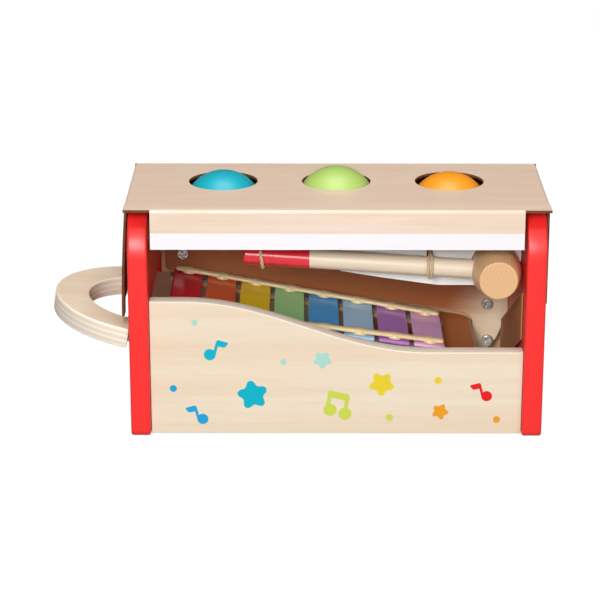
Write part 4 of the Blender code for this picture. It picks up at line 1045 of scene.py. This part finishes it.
def make_sleeve():
    """Card sleeve: a flat top with three holes, a front flap, a back with a slant, and two side flaps."""
    size, hues = sizes(), colours()
    bend, top, front, rear, half, flap_half = size["card_fold"], 143.9, 0.3, 131.9, 126.9, 111.0
    turned = half - bend
    # Front flap: depth and height of its profile from its lower edge up over the fold. Each point keeps its
    # height on the flap for the pale band along the lower edge; past the band any greater number will do
    flap_low, band, print_start = 119.6, 10.0, 10.2
    rows, facing = fold((front + bend, top - bend), bend, 180, 90)
    rows = np.concatenate([[(front, flap_low + up) for up in (0.0, band, print_start)], rows])
    facing = np.concatenate([[(-1.0, 0.0)] * 3, facing])
    parts = [sheet_grid(rows, facing, np.array([-flap_half, flap_half]), (0, 1, 2))]
    heights = [np.repeat(np.concatenate([[0.0, band, print_start], np.full(len(rows) - 3, 30.0)]), 2)]
    # Back: a wide fold to the slant, another down to the back, and the back itself
    slant_top, slant_foot, soft, back_low = 106.4, 132.9, 4.0, 3.0
    slant = math.degrees(math.atan2(top - slant_foot, rear - slant_top))
    begin = slant_top - soft * math.tan(math.radians(slant) / 2)
    below = slant_foot - soft * math.tan(math.radians(90 - slant) / 2)
    one = fold((begin, top - soft), soft, 90, 90 - slant, 8)
    two = fold((rear - soft, below), soft, 90 - slant, 0, 10)
    rows = np.concatenate([one[0], two[0], [(rear, back_low)]])
    facing = np.concatenate([one[1], two[1], [(1.0, 0.0)]])
    parts.append(sheet_grid(rows, facing, np.array([-half, half]), (0, 1, 2)))
    # Top, with its three holes; each hole's first point is turned a little, so that no three line up
    hole_radius, notch, flap_front, tongue, flap_rear = 21.2, front + 0.5, 14.0, 23.6, 105.0
    outline = [
        (-flap_half, front + bend), (flap_half, front + bend), (flap_half, notch), (half, notch),
        (half, flap_front), (turned, flap_front), (turned, flap_rear), (half, flap_rear),
        (half, begin), (-half, begin), (-half, flap_rear), (-turned, flap_rear), (-turned, tongue),
        (-turned, flap_front), (-half, flap_front), (-half, notch), (-flap_half, notch),
    ]
    loops = [np.array(outline)]
    for number, (x, _) in enumerate(BALLS.values()):
        turn = -0.03 * number
        hole = arc((x, BALL_LINE), hole_radius, 2 * math.pi + turn, turn, math.radians(4))
        loops.append(hole[:-1])
    plan = raised(np.concatenate(loops), top)
    parts.append((plan, np.tile(UP, (len(plan), 1)), filled(loops, True)))
    # Side flaps: folded down from the top; the left one swings outward and keeps a longer tongue in the slot
    flap_end = 81.5
    for side, flare, foot, depths in ((-1, 3.0, 73.0, (flap_front, tongue, flap_rear)),
                                      (1, 0.0, flap_end, (flap_front, flap_rear))):
        rows, facing = fold((turned, top - bend), bend, 90, 0)
        levels = np.concatenate([np.linspace(top - bend, flap_end, 9)[1:], [foot] if foot < flap_end else []])
        share = (top - bend - levels) / (top - bend - foot)
        rows = np.concatenate([rows, np.column_stack([half + flare * np.sin(math.pi / 2 * share), levels])])
        facing = np.concatenate([facing, np.tile([1.0, 0.0], (len(levels), 1))])
        points, normals, triangles = sheet_grid(rows, facing, np.array(depths), (1, 0, 2))
        middle = points[triangles].mean(axis=1)
        cut_away = (side < 0) & (middle[:, 1] > tongue) & (middle[:, 2] < flap_end)
        mirror = np.array([side, 1.0, 1.0])
        parts.append((points * mirror, normals * mirror, triangles[~cut_away]))
    heights += [np.full(len(part[0]), 90.0) for part in parts[1:]]
    points, faces, kept, per_face = thick_sheet(parts, size["card"])
    shape = (points, faces, {"flap_height": np.tile(np.concatenate(heights)[kept], 2)})
    outer = finish("varnished_printed_card", printed_card, hues["card"], hues["card_streak"], hues["band"],
                   band + 0.1)
    inner = finish("brown_card_liner", kraft, hues["kraft"], specks=0.25)
    # The cut edge is darker than the liner, partly its own paper and partly painted shade; its hollows are
    # painted shade
    cut = finish("cut_corrugated_edge", cut_flutes, darker(hues["kraft"], 0.6), hues["flute"])
    add_piece("card_sleeve", "folded", shape, FLAT, "sleeve", "printed_card", outer, inner, cut, sharp=35.0,
              per_face=per_face)


def make_card_pieces():
    """Grey card behind the mallet, and the brown strip by the right side panel."""
    hues = colours()
    dress(finish("grey_chipboard", kraft, hues["grey"], specks=0.1, roughness=0.7), "mallet_card")
    dress(finish("brown_card_strip", kraft, hues["brace"], specks=0.2), "card_brace")


# Stage: each lamp has a place, a width and height, all in metres, and a power in watts

LAMPS = {
    "softbox_left": ((-0.42, -1.85, 0.93), (0.5, 0.7), 27.0),
    "softbox_centre": ((0.08, -1.95, 0.72), (0.4, 0.6), 8.5),
    "fill_right": ((1.15, -1.45, 0.80), (0.5, 0.8), 6.5),
    "overhead": ((0.0, -0.25, 1.85), (1.4, 1.5), 24.5),
}
AIM = np.array([0.0, 0.0, 0.08])
WORLD_LEVEL, WORLD_TINT = 0.12, (1.0, 0.62, 0.36)
CAMERA_PLACE = (0.007989, -1.353917, 0.523783)
CAMERA_TURN = (math.pi / 2 - 0.326, 0.0, 0.004)
SENSOR_WIDTH, LENS, CLIP_START = 36.0, 136.586, 0.01
FLOOR_HALF = 8.0


def make_stage():
    """Pale floor, soft studio lights and the camera."""
    scene = bpy.context.scene
    link = scene.collection.objects.link
    floor = bpy.data.objects.new("floor", bpy.data.meshes.new("floor"))
    corners = np.array([(-1, -1, 0), (1, -1, 0), (1, 1, 0), (-1, 1, 0)]) * FLOOR_HALF
    floor.data.from_pydata(corners.tolist(), [], [(0, 1, 2, 3)])
    floor.data.materials.append(finish("white_floor", white_floor))
    link(floor)
    for name, (place, size, power) in LAMPS.items():
        lamp = bpy.data.lights.new(name, "AREA")
        lamp.shape, lamp.energy = "RECTANGLE", power
        lamp.size, lamp.size_y = size
        light = bpy.data.objects.new(name, lamp)
        x, y, z = AIM - place
        light.location = place
        light.rotation_euler = (math.atan2(math.hypot(x, y), -z), 0.0, math.atan2(-x, y))
        link(light)
    # The camera sees the world white; everything else gets a little warm light from it
    world = bpy.data.worlds.new("studio")
    scene.world = world
    world.use_nodes = True
    tree = world.node_tree
    tree.nodes.clear()
    rays = [add_node(tree, "LightPath", output=ray) for ray in ("Is Camera Ray", "Is Transmission Ray")]
    seen = add_node(tree, "Math", *rays, operation="MAXIMUM")
    strength = add_node(tree, "MapRange", seen, To_Min=WORLD_LEVEL, To_Max=1.0)
    tint = add_node(tree, "Mix", seen, WORLD_TINT, (1.0, 1.0, 1.0), data_type="RGBA")
    add_node(tree, "OutputWorld", add_node(tree, "Background", tint, strength))
    camera = bpy.data.cameras.new("camera")
    camera.sensor_width, camera.lens, camera.clip_start = SENSOR_WIDTH, LENS, CLIP_START
    view = bpy.data.objects.new("camera", camera)
    view.location, view.rotation_euler = CAMERA_PLACE, CAMERA_TURN
    link(view)
    scene.camera = view
    scene.view_settings.view_transform = "Standard"


# Operators, panel and registration

STEPS = {
    "stage": make_stage,
    "side_panels": make_side_panels,
    "front_panel": make_front_panel,
    "printed_motifs": make_motifs,
    "guide_wall": make_guide_wall,
    "wall_screws": make_wall_screws,
    "hidden_boards": make_hidden_boards,
    "ball_rings": make_ball_rings,
    "balls": make_balls,
    "tray": make_tray,
    "rails_and_felts": make_rails,
    "keys": make_keys,
    "key_strips": make_key_strips,
    "key_screws": make_key_screws,
    "mallet": make_mallet,
    "twine_ties": make_ties,
    "card_sleeve": make_sleeve,
    "card_pieces": make_card_pieces,
}


def operator_class(name, make):
    """The operator that makes one piece or group of like pieces."""

    def execute(self, context):
        make()
        return {"FINISHED"}

    held = {"bl_idname": "toy_bench." + name, "bl_label": name.replace("_", " ").capitalize(),
            "bl_options": {"REGISTER", "UNDO"}, "__doc__": make.__doc__, "execute": execute}
    return type("TOYBENCH_OT_" + name, (Operator,), held)


OPERATORS = tuple(operator_class(name, make) for name, make in STEPS.items())


class TOYBENCH_PT_panel(Panel):
    """Lists the steps that build the toy bench, and its sizes and colours."""

    bl_idname = "TOYBENCH_PT_panel"
    bl_label = "Toy bench"
    bl_space_type = "VIEW_3D"
    bl_region_type = "UI"
    bl_category = "Toy bench"

    def draw(self, context):
        for made in OPERATORS:
            self.layout.operator(made.bl_idname)
        for held in (context.scene.bench_sizes, context.scene.bench_colours):
            column = self.layout.column()
            for key in held.__annotations__:
                column.prop(held, key)


CLASSES = (BenchSizes, BenchColours, *OPERATORS, TOYBENCH_PT_panel)


def register():
    """Register the classes and hang the properties on the scene."""
    for made in CLASSES:
        bpy.utils.register_class(made)
    bpy.types.Scene.bench_sizes = PointerProperty(type=BenchSizes)
    bpy.types.Scene.bench_colours = PointerProperty(type=BenchColours)


def unregister():
    """Take the properties off the scene and unregister the classes."""
    del bpy.types.Scene.bench_sizes, bpy.types.Scene.bench_colours
    for made in reversed(CLASSES):
        bpy.utils.unregister_class(made)


def main():
    """Register, run every step in order, and write the two boxes."""
    register()
    for name in STEPS:
        getattr(bpy.ops.toy_bench, name)()


if __name__ == "__main__":
    main()
